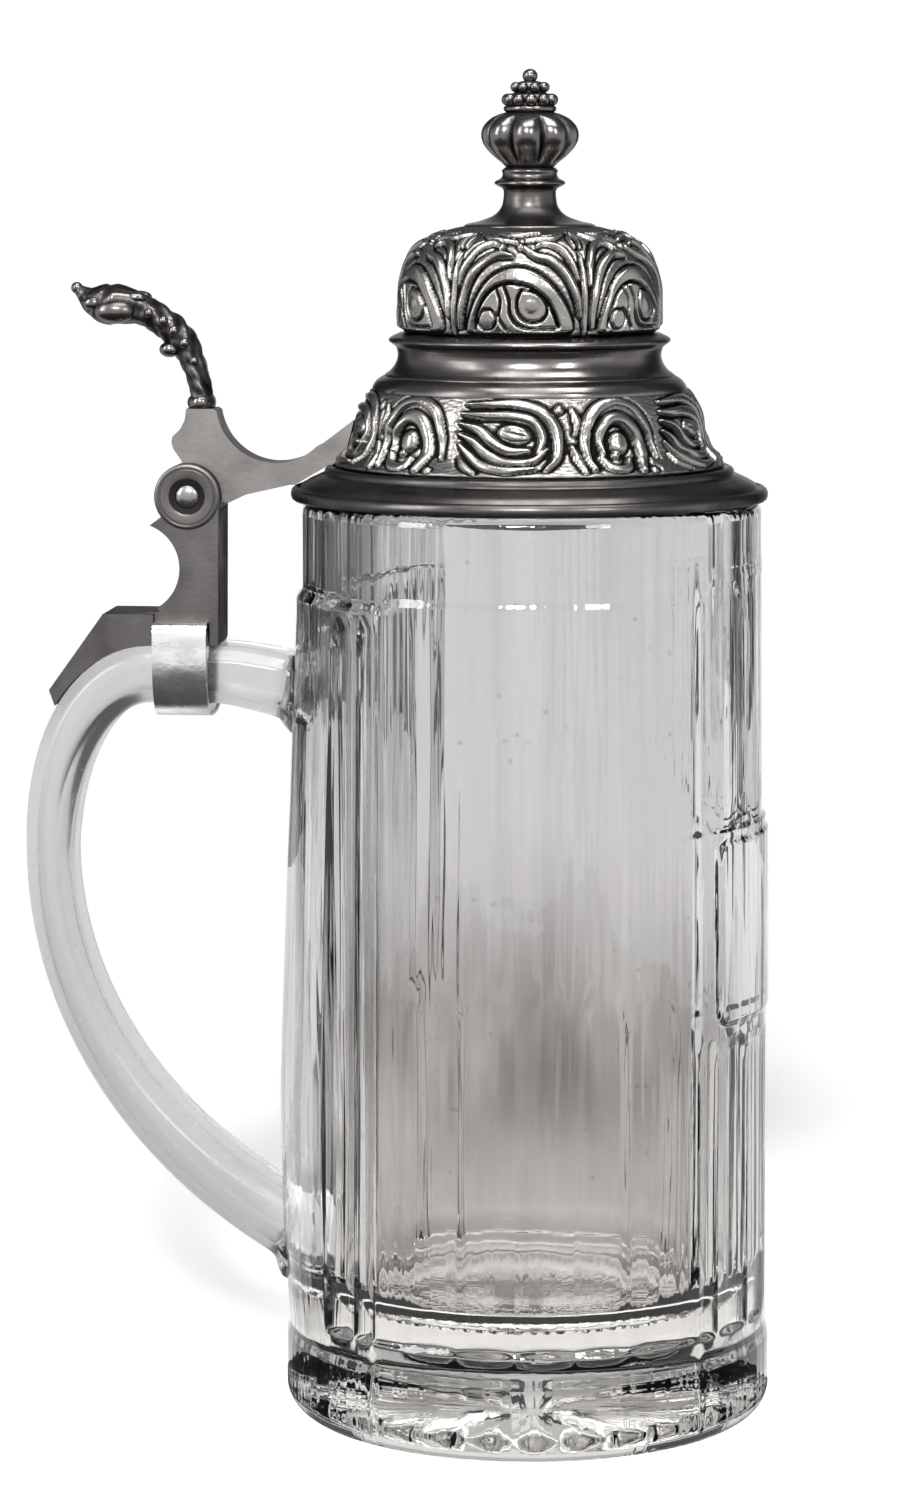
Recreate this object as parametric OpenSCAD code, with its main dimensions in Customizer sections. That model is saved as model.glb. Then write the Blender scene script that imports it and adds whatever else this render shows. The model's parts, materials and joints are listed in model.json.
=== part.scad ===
// Lidded glass beer stein: a panelled glass tankard with a hinged, domed pewter lid.
// Millimetres. +Z is up, the origin is the centre of the foot on the table,
// the handle points along -X and the front of the stein along +X.

/* [Glass] */
// Height of the glass, from the table to the rim
glass_h = 170; // [130:1:230]
// Outer radius of the plain zone under the rim
rim_r = 41.7; // [34:0.1:55]
// Height of the plain zone under the rim
rim_zone_h = 17; // [12:0.5:30]
// How far the panelled wall stands out from the plain zone
shoulder_step = 1.7; // [0.8:0.1:3]
// How much the panelled wall widens from the shoulder to the foot
wall_spread = 0.8; // [0:0.1:4]
// Height of the foot ring
foot_h = 16; // [12:0.5:24]
// How far the foot ring stands out from the wall above it
foot_step = 0.9; // [0.3:0.1:2]
// Radius of the rounding under the foot ring
foot_round = 9; // [4:0.5:11]
// Thickness of the wall at the rim
wall_t = 5.6; // [3.5:0.1:8]
// Thickness of the glass under the drink
floor_t = 22; // [14:0.5:30]
// Radius of the rounding between the floor and the inner wall
floor_round = 9; // [4:0.5:14]
// Radius of the hollow under the foot
punt_r = 29; // [18:0.5:32]
// Depth of the hollow under the foot
punt_depth = 2.4; // [1:0.1:5]

/* [Cut panels] */
// Depth of the cut panels
panel_depth = 0.9; // [0.3:0.1:1.6]
// Half angle of the ornamented front
front_half_angle = 41; // [30:1:50]
// Half angle of the ribbed zone behind the handle
back_half_angle = 56; // [48:1:70]
// Height of the plain tablet on the front
tablet_h = 34; // [20:1:50]
// Height of the middle of the tablet, as a share of the wall
tablet_place = 0.58; // [0.4:0.01:0.65]

/* [Handle] */
// Width of the handle from side to side
handle_w = 17; // [12:0.5:24]
// Thickness of the handle where the band grips it
handle_t = 10.6; // [8:0.1:12]
// Thickness of the handle at its furthest point from the body
grip_t = 8.3; // [6:0.1:12]
// Chamfer on the handle's long edges
handle_chamfer = 2.6; // [1:0.1:3.2]
// Clear depth of the grip, from the wall to the middle of the handle
grip_reach = 44; // [34:0.5:56]
// Height of the lower root of the handle
root_h = 30.5; // [26:0.5:45]

/* [Hinge] */
// Distance from the glass rim back to the hinge pin
hinge_back = 20.8; // [17:0.1:28]
// Height of the hinge pin over the rim
hinge_up = 0.5; // [0:0.1:2]
// Distance from the hinge pin down to the middle of the handle band
band_drop = 32.8; // [28:0.1:44]
// Radius of the hinge pin
pin_r = 1.6; // [1:0.1:2.4]
// Radius of the hinge rings
ring_r = 6.1; // [5.2:0.1:7]
// Width of one hinge ring
ring_w = 2.3; // [1.8:0.1:3]
// Side gap between two hinge rings
ring_gap = 0.12; // [0.05:0.01:0.2]
// Length of the handle band along the handle
band_l = 10; // [7:0.1:11]
// Thickness of the handle band at the sides
band_t = 1.9; // [1.2:0.1:3]

/* [Lid] */
// How far the flange reaches past the glass rim
flange_over = 2; // [1:0.1:4]
// Thickness of the lid castings
lid_wall = 1.7; // [1.2:0.1:2.4]
// Height of the skirt that carries the lower relief
skirt_h = 14; // [10:0.5:20]
// Height of the smooth waist between the two reliefs
waist_h = 10.4; // [7:0.1:16]
// Height of the dome above the waist
dome_h = 18.8; // [12:0.1:30]
// Radius of the dome
dome_r = 24.2; // [20:0.1:28]
// Depth of the locating collar inside the glass
collar_h = 3; // [1.5:0.1:6]

/* [Finial] */
// Radius of the gadrooned knob
knob_r = 8.9; // [6:0.1:12]
// Height of the gadrooned knob
knob_h = 10; // [7:0.1:14]
// Number of gadroons round the knob
gadroons = 8; // [5:1:12]
// Radius of the threaded stud
stud_r = 1.5; // [1:0.1:2]

/* [Clearances] */
// Gap between the closed lid and the glass rim
seat_gap = 0.15; // [0.05:0.01:0.3]
// Radial gap between the collar and the inside of the glass
collar_gap = 0.9; // [0.6:0.1:1.5]
// Gap between the pewter mount and the glass handle
mount_gap = 0.12; // [0.05:0.01:0.3]
// Radial running clearance of the hinge pin in the lid's rings
pin_gap = 0.05; // [0.02:0.01:0.1]
// Radial gap between a turning hinge ring and the seat around it
ring_seat_gap = 0.25; // [0.15:0.01:0.4]

/* [Hidden] */
$fn = 96;
far = 200;             // longer than any cut has to reach
touch = 0.02;          // gap left between castings that are soldered together

// Glass
wall_top_r = rim_r + shoulder_step;
wall_foot_r = wall_top_r + wall_spread;
foot_r = wall_foot_r + foot_step;
bore_r = rim_r - wall_t;
shoulder_z = glass_h - rim_zone_h;
wall_h = shoulder_z - foot_h;
function wall_r(z) = wall_foot_r - wall_spread * (z - foot_h) / wall_h;

// Hinge axis and band centre
hinge_x = -(rim_r + hinge_back);
hinge_z = glass_h + hinge_up;
band_x = hinge_x - 1;
band_z = hinge_z - band_drop;
band_in_w = handle_w / 2 + mount_gap;
band_in_h = handle_t / 2 + mount_gap;
band_out_w = band_in_w + band_t;
band_low_t = band_t + 0.6;
band_high_t = band_t + 2.6;
ring_pitch = ring_w + ring_gap;
barrel_half = 2.5 * ring_w + 2 * ring_gap;
cap_seat = 0.8;        // how deep the ends of the pin are sunk
tang_half = ring_pitch + ring_w / 2;
saddle_top_z = band_z + 11.2;
saddle_half = barrel_half + 1.6;
scoop_r = 8.4;

// Lid levels
lid_z = glass_h + seat_gap;
flange_r = rim_r + flange_over;
flange_edge_h = 2.5;
flange_h = 6.2;
skirt_foot_r = flange_r - 7;
skirt_bulge_r = skirt_foot_r - 4.2;
skirt_z = lid_z + flange_h;
waist_z = skirt_z + skirt_h;
waist_foot_r = dome_r + 4;
dome_z = waist_z + waist_h;
crown_ring_r = dome_r + 1.5;
finial_z = dome_z + dome_h;
knob_z = finial_z + 10.9;
crown_z = knob_z + knob_h;
neck_r = 4.8;

// ---- Curves ----

function bezier(p, t) =
    pow(1 - t, 3) * p[0] + 3 * t * pow(1 - t, 2) * p[1]
    + 3 * t * t * (1 - t) * p[2] + pow(t, 3) * p[3];
function bezier_points(p, n, first = 0) = [for (i = [first:n]) bezier(p, i / n)];
function arc(c, r, from, to, n = 12) =
    [for (i = [0:n]) let (a = from + (to - from) * i / n) c + r * [cos(a), sin(a)]];
function reversed(v) = [for (i = [len(v) - 1:-1:0]) v[i]];
function mix(a, b, t) = a + (b - a) * t;
function unit(v) = v / norm(v);
function direction(p, i) = unit(p[min(i + 1, len(p) - 1)] - p[max(i - 1, 0)]);
// A line moved sideways: positive distances go to its right
function beside(p, d) =
    [for (i = [0:len(p) - 1]) let (t = direction(p, i)) p[i] + d * [t[1], -t[0]]];

// ---- Solids from curves ----

// Draws its 2D children in the XZ plane, from -half to +half along Y
module in_plane(half) {
    rotate([90, 0, 0]) translate([0, 0, -half]) linear_extrude(2 * half) children();
}

// A slice of the XZ drawing between two places along Y
module in_slot(low, high) {
    rotate([90, 0, 0]) translate([0, 0, -high]) linear_extrude(high - low) children();
}

// Cylinder along Y through a point of the XZ plane
module cross_rod(x, z, r, low, high) {
    translate([x, low, z]) rotate([-90, 0, 0]) cylinder(r = r, h = high - low);
}

// Tube of lathed metal between an outer line and its inner side, cut off level at its foot
module lathed_shell(outer, t) {
    inner = [for (p = reversed(beside(outer, -t))) [p[0], max(p[1], outer[0][1])]];
    rotate_extrude() polygon(concat(outer, inner));
}

// Skin over rings of equal point counts
module loft(rings) {
    n = len(rings[0]);
    last = len(rings) - 1;
    polyhedron(
        points = [for (ring = rings) each ring],
        faces = concat(
            [[for (i = [0:n - 1]) i]],
            [for (k = [0:last - 1]) for (i = [0:n - 1])
                [k * n + i, (k + 1) * n + i, (k + 1) * n + (i + 1) % n, k * n + (i + 1) % n]],
            [[for (i = [n - 1:-1:0]) last * n + i]]
        )
    );
}

// Octagonal section: half thickness h, half width w and chamfer c
function octagon(h, w, c) = [
    [h, -w + c], [h, w - c], [h - c, w], [-h + c, w],
    [-h, w - c], [-h, -w + c], [-h + c, -w], [h - c, -w],
];
// The section placed at a point of the XZ plane, across the direction of travel
function placed(section, p, t) =
    [for (s = section) [p[0] + s[0] * t[1], s[1], p[1] - s[0] * t[0]]];

// ---- Glass ----

function body_outline() = concat(
    [[punt_r + 2, 0], [foot_r - foot_round, 0]],
    arc([foot_r - foot_round, foot_round], foot_round, -80, 0, 8),
    [[foot_r, foot_h - 1.2], [foot_r - 0.2, foot_h - 0.3], [wall_foot_r, foot_h]],
    [[wall_top_r, shoulder_z - 0.8], [wall_top_r - 0.5, shoulder_z], [rim_r, shoulder_z + 0.6]],
    [[rim_r, glass_h - 1.5], [rim_r - 0.5, glass_h - 0.4], [rim_r - 1.5, glass_h]]
);
function bore_outline() = concat(
    [[0, floor_t]],
    arc([bore_r - floor_round, floor_t + floor_round], floor_round, -90, 0, 8),
    [[bore_r, glass_h - 1.2], [bore_r + 0.6, glass_h - 0.2], [bore_r + 1.2, glass_h]]
);

module solid_of_body() {
    rotate_extrude() polygon(concat([[0, 0]], body_outline(), [[0, glass_h]]));
}

// A shallow cut in the wall, between two angles and two heights
module wall_cut(from, to, low, high, depth) {
    rotate([0, 0, from]) rotate_extrude(angle = to - from)
        polygon([
            [wall_r(low) - depth, low], [foot_r + 5, low],
            [foot_r + 5, high], [wall_r(high) - depth, high],
        ]);
}

module front_panes(low, high) {
    wall_cut(-18, 18, low, high, panel_depth * 0.6);
    for (side = [-1, 1])
        wall_cut(side * 33 - 6, side * 33 + 6, low, high, panel_depth * 0.6);
}

// Round flutes in the zone behind the handle, of even depth from foot to shoulder
module back_flutes() {
    axis_r = wall_top_r + 5.2;
    low = foot_h + 2;
    high = shoulder_z - 2.5;
    for (side = [-1, 1]) for (a = [180 - back_half_angle + 6:9:180 - back_half_angle + 24])
        rotate([0, 0, side * a]) translate([axis_r, 0, low])
            cylinder(
                r1 = axis_r - wall_r(low) + panel_depth,
                r2 = axis_r - wall_r(high) + panel_depth,
                h = high - low
            );
}

module glass_body() {
    tablet_mid = foot_h + wall_h * tablet_place;
    color("gainsboro", 0.35)
    difference() {
        solid_of_body();
        rotate_extrude() polygon(concat(bore_outline(), [[0, glass_h]]));
        translate([0, 0, -far]) cylinder(r = punt_r, h = far + punt_depth);
        for (side = [-1, 1])
            wall_cut(
                side > 0 ? front_half_angle : back_half_angle - 180,
                side > 0 ? 180 - back_half_angle : -front_half_angle,
                foot_h + 0.7, shoulder_z - 1.5, panel_depth
            );
        front_panes(tablet_mid + tablet_h / 2 + 1.5, shoulder_z - 3);
        front_panes(foot_h + 2, tablet_mid - tablet_h / 2 - 1.5);
        back_flutes();
    }
}

// Middle line of the handle, from the upper arm to the lower root
arm_end = [-(rim_r - 4), band_z - 3.2];
arm_straight = band_l / 2 + 0.8;
grip_x = -(foot_r + grip_reach);
grip_z = band_z - 34;
arm_line = [
    arm_end, [band_x + 15.5, band_z - 1.4], [band_x + 10, band_z], [band_x + arm_straight, band_z],
];
back_line = [
    [band_x - arm_straight, band_z], [band_x - arm_straight - 11, band_z],
    [grip_x, grip_z + 20.4], [grip_x, grip_z],
];
root_line = [
    [grip_x, grip_z], [grip_x, grip_z - 23.6],
    [grip_x + 13, root_h + 19.5], [-(rim_r - 4), root_h],
];
handle_line = concat(
    bezier_points(arm_line, 10), bezier_points(back_line, 18), bezier_points(root_line, 24, 1)
);
// Thickness along the same points
handle_sizes = concat(
    [for (i = [0:10]) mix(handle_t + 1.2, handle_t, i / 10)],
    [for (i = [0:18]) mix(handle_t, grip_t, pow(i / 18, 2))],
    [for (i = [1:24]) mix(grip_t, handle_t + 1.2, pow(i / 24, 2))]
);

module handle_sweep() {
    loft([for (i = [0:len(handle_line) - 1])
        placed(
            octagon(handle_sizes[i] / 2, handle_w / 2, handle_chamfer),
            handle_line[i], direction(handle_line, i)
        )]);
}

module glass_handle() {
    color("gainsboro", 0.35)
    difference() {
        handle_sweep();
        solid_of_body();
    }
}

// ---- Mount on the handle ----

// Side view of the handle and the grip inside it, kept free of the mount
module handle_back_profile() {
    polygon([for (i = [0:len(handle_line) - 1])
        let (t = direction(handle_line, i))
        handle_line[i] + (handle_sizes[i] / 2 + mount_gap) * [t[1], -t[0]]]);
}

// Side outlines of the upright shank and of the saddle on the handle's back
module shank_profile() {
    spur = [hinge_x - 7.1, hinge_z - 5.4];
    polygon([
        [hinge_x + ring_r - 0.3, hinge_z - 1], [hinge_x + ring_r - 0.5, saddle_top_z - 5],
        [band_x + band_l / 2, band_z], [band_x - band_l, band_z],
        [band_x - band_l, saddle_top_z], [hinge_x - 5.2, saddle_top_z + 0.3],
        [hinge_x - 11, hinge_z - 13], spur, [hinge_x - 4.7, hinge_z - 3.6], [hinge_x, hinge_z],
    ]);
}
module saddle_profile() {
    front = band_x - band_l / 2 - 0.2;
    polygon([
        [front, saddle_top_z], [band_x - 14.6, saddle_top_z],
        [band_x - 24.8, band_z - 3], [band_x - 23, band_z - 8],
        [band_x - 18, band_z - 8], [front, band_z],
    ]);
}

module band_block(grow = 0) {
    low = band_z - band_in_h - band_low_t;
    high = band_z + band_in_h + band_high_t;
    r = 2.6;
    translate([band_x - band_l / 2 - grow, 0, 0]) rotate([90, 0, 90])
        linear_extrude(band_l + 2 * grow) {
            translate([-band_out_w + r, low]) square([2 * (band_out_w - r), high - low + grow]);
            translate([-band_out_w, low + r]) square([2 * band_out_w, high - low - 2 * r]);
            for (y = [-1, 1], z = [low + r, high - r])
                translate([y * (band_out_w - r), z]) circle(r = r);
        }
}

module hinge_shank() {
    color("dimgray")
    difference() {
        union() {
            in_plane(barrel_half) shank_profile();
            in_plane(saddle_half) saddle_profile();
            cross_rod(hinge_x, hinge_z, ring_r, -barrel_half, barrel_half);
        }
        cross_rod(hinge_x - 9.9, hinge_z - 13.2, scoop_r, -far, far);
        in_plane(far) handle_back_profile();
        band_block(touch);
        for (side = [-1, 1])
            cross_rod(
                hinge_x, hinge_z, ring_r + ring_seat_gap,
                side * ring_pitch - ring_w / 2 - ring_gap, side * ring_pitch + ring_w / 2 + ring_gap
            );
        cross_rod(hinge_x, hinge_z, pin_r + 0.01, -far, far);
        for (side = [-1, 1])
            cross_rod(
                hinge_x, hinge_z, pin_r + 1.4,
                side > 0 ? barrel_half - cap_seat : -far, side > 0 ? far : cap_seat - barrel_half
            );
    }
}

module handle_band() {
    color("darkgray")
    difference() {
        band_block();
        translate([band_x - far / 2, 0, band_z]) rotate([90, 0, 90]) linear_extrude(far)
            polygon([for (s = octagon(band_in_h, band_in_w, handle_chamfer)) [s[1], s[0]]]);
    }
}

module hinge_pin() {
    color("silver")
        cross_rod(hinge_x, hinge_z, pin_r, cap_seat - barrel_half, barrel_half - cap_seat);
}

module pin_cap(side) {
    cap_r = pin_r + 0.7;
    color("silver")
    translate([hinge_x, side * (barrel_half - cap_seat + touch), hinge_z]) rotate([-side * 90, 0, 0])
        rotate_extrude() polygon([
            [0, 0], [cap_r, 0], [cap_r, 0.4], [cap_r * 0.8, 0.85], [cap_r * 0.4, 1.1], [0, 1.15],
        ]);
}

// ---- Lid arm and thumblift ----

thumb_base_z = hinge_z + 16;
module tang_profile() {
    hollow = [hinge_x + 16.1, hinge_z + 17.2];
    difference() {
        polygon([
            [hinge_x, hinge_z], [hinge_x + 7.4, hinge_z - 1.2], [hinge_x + 10.5, hinge_z + 0.3],
            [hinge_x + 18.8, hinge_z + 2.2], [hinge_x + 34, hinge_z + 2.2],
            [hinge_x + 34, hinge_z + 14.4], [hinge_x + 30.6, hinge_z + 14.2],
            [hinge_x + 24.4, hinge_z + 9.5], [hinge_x + 18, hinge_z + 7.5],
            [hinge_x + 4.6, thumb_base_z], [hinge_x - 0.4, thumb_base_z],
            [hinge_x - 0.7, hinge_z + 13.9], [hinge_x - 1.6, hinge_z + 12.2],
            [hinge_x - 3, hinge_z + 10.9], [hinge_x - 3.2, hinge_z + 9.9],
            [hinge_x - 2.9, hinge_z + 8.7], [hinge_x - 1.2, hinge_z + 6.2],
        ]);
        translate(hollow) circle(r = 11);
    }
}

module lid_solid() {
    rotate_extrude() polygon(concat(
        [[0, lid_z]], flange_outline(), skirt_outline(), [[0, waist_z]]
    ));
}

module lid_tang() {
    color("gray")
    difference() {
        union() {
            difference() {
                in_plane(tang_half) tang_profile();
                cross_rod(hinge_x, hinge_z, ring_r + ring_seat_gap, -far, far);
            }
            for (side = [-1, 1]) {
                low = side * ring_pitch - ring_w / 2;
                in_slot(low, low + ring_w) tang_profile();
                cross_rod(hinge_x, hinge_z, ring_r, low, low + ring_w);
            }
        }
        cross_rod(hinge_x, hinge_z, pin_r + pin_gap, -far, far);
        for (lift = [0, 2 * touch]) translate([0, 0, lift]) lid_solid();
    }
}

// Middle line of the thumblift, from its foot on the tang to its tip
thumb_foot_line = [
    [hinge_x + 1.7, thumb_base_z + touch], [hinge_x + 1.5, thumb_base_z + 6.5],
    [hinge_x - 1.2, thumb_base_z + 11.5], [hinge_x - 5.5, thumb_base_z + 15.2],
];
thumb_tip_line = [
    [hinge_x - 5.5, thumb_base_z + 15.2], [hinge_x - 9.4, thumb_base_z + 18.5],
    [hinge_x - 15.5, thumb_base_z + 18.6], [hinge_x - 22.1, thumb_base_z + 21.9],
];
thumb_line = concat(bezier_points(thumb_foot_line, 12), bezier_points(thumb_tip_line, 12, 1));
// Half thickness and half width along the thumblift, as shares of its length
function thumb_thick(t) = lookup(t, [[0, 2.3], [0.3, 2.7], [0.5, 2.9], [0.75, 3.9], [0.9, 2], [1, 0.9]]);
function thumb_width(t) = lookup(t, [[0, 3.6], [0.3, 3.8], [0.55, 5], [0.75, 6.4], [0.9, 3], [1, 0.9]]);

module thumblift() {
    sides = 16;
    last = len(thumb_line) - 1;
    color("gray")
    loft([for (i = [0:last])
        let (t = i / last)
        placed(
            [for (k = [0:sides - 1]) let (a = 360 * k / sides)
                [thumb_thick(t) * cos(a), thumb_width(t) * sin(a)]],
            thumb_line[i], i == 0 ? [0, 1] : direction(thumb_line, i)
        )]);
}

// ---- Lid ----

function flange_outline() = [
    [flange_r - 0.7, lid_z], [flange_r, lid_z + 0.7], [flange_r, lid_z + flange_edge_h - 0.8],
    [flange_r - 0.7, lid_z + flange_edge_h], [skirt_foot_r, skirt_z],
];
function skirt_outline() = concat(
    bezier_points([
        [skirt_foot_r - 0.6, skirt_z], [skirt_bulge_r + 0.6, skirt_z + 2],
        [skirt_bulge_r + 0.6, skirt_z + 4.5], [skirt_bulge_r - 0.6, skirt_z + skirt_h * 0.65],
    ], 10),
    bezier_points([
        [skirt_bulge_r - 0.6, skirt_z + skirt_h * 0.65], [skirt_bulge_r - 1.6, skirt_z + skirt_h * 0.85],
        [waist_foot_r + 1, waist_z - 1.2], [waist_foot_r, waist_z],
    ], 6, 1)
);
function waist_outline() = concat(
    bezier_points([
        [waist_foot_r, waist_z], [dome_r + 1, waist_z + 1.6],
        [dome_r - 0.4, waist_z + 3], [dome_r - 0.4, waist_z + waist_h * 0.52],
    ], 8),
    bezier_points([
        [dome_r - 0.4, waist_z + waist_h * 0.52], [dome_r - 0.4, waist_z + waist_h * 0.68],
        [dome_r + 0.1, waist_z + waist_h * 0.78], [crown_ring_r - 0.2, waist_z + waist_h * 0.84],
    ], 6, 1),
    [[crown_ring_r, waist_z + waist_h * 0.9], [crown_ring_r - 0.3, waist_z + waist_h]]
);
function dome_outline() = concat(
    bezier_points([
        [dome_r - 0.8, dome_z], [dome_r + 0.8, dome_z + 4.5],
        [dome_r + 0.4, dome_z + 9.5], [dome_r - 2.2, dome_z + 13.6],
    ], 10),
    bezier_points([
        [dome_r - 2.2, dome_z + 13.6], [dome_r - 4, dome_z + 16.4],
        [dome_r * 0.68, dome_z + 17.4], [dome_r * 0.5, finial_z],
    ], 8, 1)
);

module lid_flange() {
    collar_r = bore_r - collar_gap;
    color("dimgray")
    rotate_extrude() polygon(concat(
        flange_outline(),
        [[collar_r - 2.4, skirt_z], [collar_r - 2.4, lid_z - collar_h + 0.4], [collar_r - 2, lid_z - collar_h]],
        [[collar_r - 0.6, lid_z - collar_h], [collar_r, lid_z - collar_h + 0.8], [collar_r, lid_z]]
    ));
}

module lid_skirt() {
    color("dimgray") translate([0, 0, touch]) lathed_shell(skirt_outline(), lid_wall);
}

module lid_waist() {
    throat_r = dome_r - 0.4 - lid_wall;
    seat_r = dome_r - 1.4 - lid_wall;
    color("dimgray") translate([0, 0, 2 * touch])
        rotate_extrude() polygon(concat(
            waist_outline(),
            [[seat_r, dome_z], [seat_r, dome_z - lid_wall], [throat_r, dome_z - lid_wall]],
            [[throat_r, waist_z + waist_h * 0.4], [waist_foot_r - lid_wall, waist_z]]
        ));
}

module lid_dome() {
    color("dimgray")
    difference() {
        translate([0, 0, 3 * touch]) rotate_extrude() polygon(concat(
            dome_outline(),
            [[0, finial_z], [0, finial_z - lid_wall]],
            [for (p = reversed(beside(dome_outline(), -lid_wall)))
                [p[0], min(max(p[1], dome_z), finial_z - lid_wall)]]
        ));
        cylinder(r = stud_r + pin_gap, h = far * 2);
    }
}

// ---- Finial ----

module finial_foot() {
    z = finial_z + 4 * touch;
    color("gray")
    difference() {
        rotate_extrude() polygon(concat(
            [[0, z], [11.8, z], [12, z + 0.4]],
            bezier_points([[11, z + 0.8], [7, z + 1.3], [neck_r, z + 2.4], [neck_r, z + 4.6]], 8),
            [[neck_r, z + 6.8], [neck_r + 0.5, z + 7.4], [neck_r + 1.7, z + 8], [neck_r + 1.7, z + 8.5]],
            [[neck_r + 0.4, z + 9.1], [neck_r + 0.2, z + 10], [neck_r + 0.5, knob_z], [0, knob_z]]
        ));
        cylinder(r = stud_r + pin_gap, h = far * 2);
    }
}

module finial_knob() {
    z = knob_z + touch;
    color("gray")
    difference() {
        rotate_extrude() polygon(concat(
            [[0, z]],
            bezier_points([[neck_r, z], [knob_r + 1.6, z + 2], [knob_r + 1.2, z + knob_h * 0.78],
                [neck_r + 0.4, z + knob_h - 0.6]], 14),
            [[neck_r - 0.6, crown_z], [0, crown_z]]
        ));
        for (i = [0:gadroons - 1])
            rotate([0, 0, 360 * (i + 0.5) / gadroons]) translate([knob_r + 0.4, 0, z - 1])
                cylinder(r = 1, h = knob_h + 2);
        cylinder(r = stud_r + pin_gap, h = crown_z - 3);
    }
}

module bead_ring(count, ring, bead, z) {
    for (i = [0:count - 1])
        rotate([0, 0, 360 * i / count]) translate([ring, 0, z]) sphere(r = bead, $fn = 24);
}

module finial_crown() {
    z = crown_z + touch;
    color("gray") {
        rotate_extrude() polygon([
            [0, z], [neck_r - 0.8, z], [neck_r - 1, z + 0.8], [neck_r - 0.4, z + 1.2],
            [neck_r - 0.2, z + 2.6], [3.2, z + 3.2], [2.9, z + 5.4], [1.2, z + 6], [0, z + 6.2],
        ]);
        bead_ring(12, neck_r - 0.6, 1.05, z + 1.9);
        bead_ring(9, 2.9, 0.95, z + 4.6);
        translate([0, 0, z + 6.4]) sphere(r = 1.4, $fn = 32);
    }
}

module finial_stud() {
    color("silver")
        translate([0, 0, finial_z - lid_wall - 4.4]) cylinder(r = stud_r, h = crown_z - finial_z + lid_wall + 1);
}

module finial_nut() {
    color("silver")
    translate([0, 0, finial_z - lid_wall - 2.4]) difference() {
        cylinder(r = 3.2, h = 2.3, $fn = 6);
        translate([0, 0, -1]) cylinder(r = stud_r + 0.02, h = 5);
    }
}

glass_body();
glass_handle();
hinge_shank();
handle_band();
hinge_pin();
pin_cap(1);  // pin_cap_left
pin_cap(-1);  // pin_cap_right
lid_tang();
thumblift();
lid_flange();
lid_skirt();
lid_waist();
lid_dome();
finial_foot();
finial_knob();
finial_crown();
finial_stud();
finial_nut();
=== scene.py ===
"""The finished look of a lidded glass beer stein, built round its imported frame.

Pieces are worked out in millimetres in the frame's own axes (+Z up, handle towards -X)
and become metres only where a mesh is made. Angles round the glass are degrees from +X.
"""

import json
import math

import bmesh
import bpy
import numpy as np
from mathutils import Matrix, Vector


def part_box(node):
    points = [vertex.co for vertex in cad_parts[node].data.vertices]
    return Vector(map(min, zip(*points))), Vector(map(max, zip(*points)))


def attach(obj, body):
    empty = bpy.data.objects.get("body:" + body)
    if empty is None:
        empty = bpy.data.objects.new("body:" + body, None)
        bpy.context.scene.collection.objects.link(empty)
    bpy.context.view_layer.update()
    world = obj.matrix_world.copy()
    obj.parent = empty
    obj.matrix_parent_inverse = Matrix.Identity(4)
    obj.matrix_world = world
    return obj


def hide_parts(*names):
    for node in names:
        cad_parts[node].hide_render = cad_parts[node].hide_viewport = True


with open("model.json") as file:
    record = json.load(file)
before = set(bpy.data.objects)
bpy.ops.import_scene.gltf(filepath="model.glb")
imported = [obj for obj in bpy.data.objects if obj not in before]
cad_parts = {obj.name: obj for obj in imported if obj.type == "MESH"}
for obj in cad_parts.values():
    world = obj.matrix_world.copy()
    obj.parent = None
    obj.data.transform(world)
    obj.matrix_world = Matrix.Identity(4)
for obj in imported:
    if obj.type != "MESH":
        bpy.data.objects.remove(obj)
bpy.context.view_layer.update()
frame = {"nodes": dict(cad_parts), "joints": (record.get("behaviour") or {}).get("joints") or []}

MM = 0.001

# ---------------------------------------------------------------- places from the frame


def corners(node):
    """Lowest and highest corner of a frame node, in millimetres."""
    low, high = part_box(node)
    return np.array(low) / MM, np.array(high) / MM


HINGE = np.array(frame["joints"][0]["pos_m"]) / MM
RIM_Z = corners("glass_body")[1][2]
FOOT_R = corners("glass_body")[1][0]
EAR_FACE = corners("hinge_shank")[1][1] - 1.6
BORE_R = 36.1
RIM_R = 41.7
BAND_X = HINGE[0] - 1
BAND_Z = HINGE[2] - 32.8
LID_Z = RIM_Z + 0.15
SKIRT_Z = corners("lid_skirt")[0][2]
WAIST_Z = corners("lid_waist")[0][2]
DOME_Z = corners("lid_dome")[0][2]
FINIAL_Z = corners("finial_foot")[0][2]
KNOB_Z = corners("finial_knob")[0][2]
CROWN_Z = corners("finial_crown")[0][2]
TOP_Z = corners("finial_crown")[1][2]

# ---------------------------------------------------------------- curves and grids


def smooth(low, high, x):
    """0 below low, 1 above high, and the cubic 3t^2 - 2t^3 between them."""
    t = np.clip((np.asarray(x, float) - low) / (high - low), 0, 1)
    return t * t * (3 - 2 * t)


def window(low, high, edge, x):
    """1 between low and high, falling to 0 over one edge width outside each."""
    return smooth(low - edge, low, x) * (1 - smooth(high, high + edge, x))


def through(points, count):
    """A smooth curve through the points: cubic pieces whose end slopes are half the
    chord between the neighbours (Catmull-Rom), sampled evenly in the curve's parameter."""
    p = np.asarray(points, float)
    slope = np.gradient(p, axis=0)
    t = np.linspace(0, len(p) - 1, count)
    i = np.minimum(t.astype(int), len(p) - 2)
    f = (t - i)[:, None]
    return (
        (1 + 2 * f) * (1 - f) ** 2 * p[i]
        + f * (1 - f) ** 2 * slope[i]
        + f * f * (3 - 2 * f) * p[i + 1]
        - f * f * (1 - f) * slope[i + 1]
    )


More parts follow.
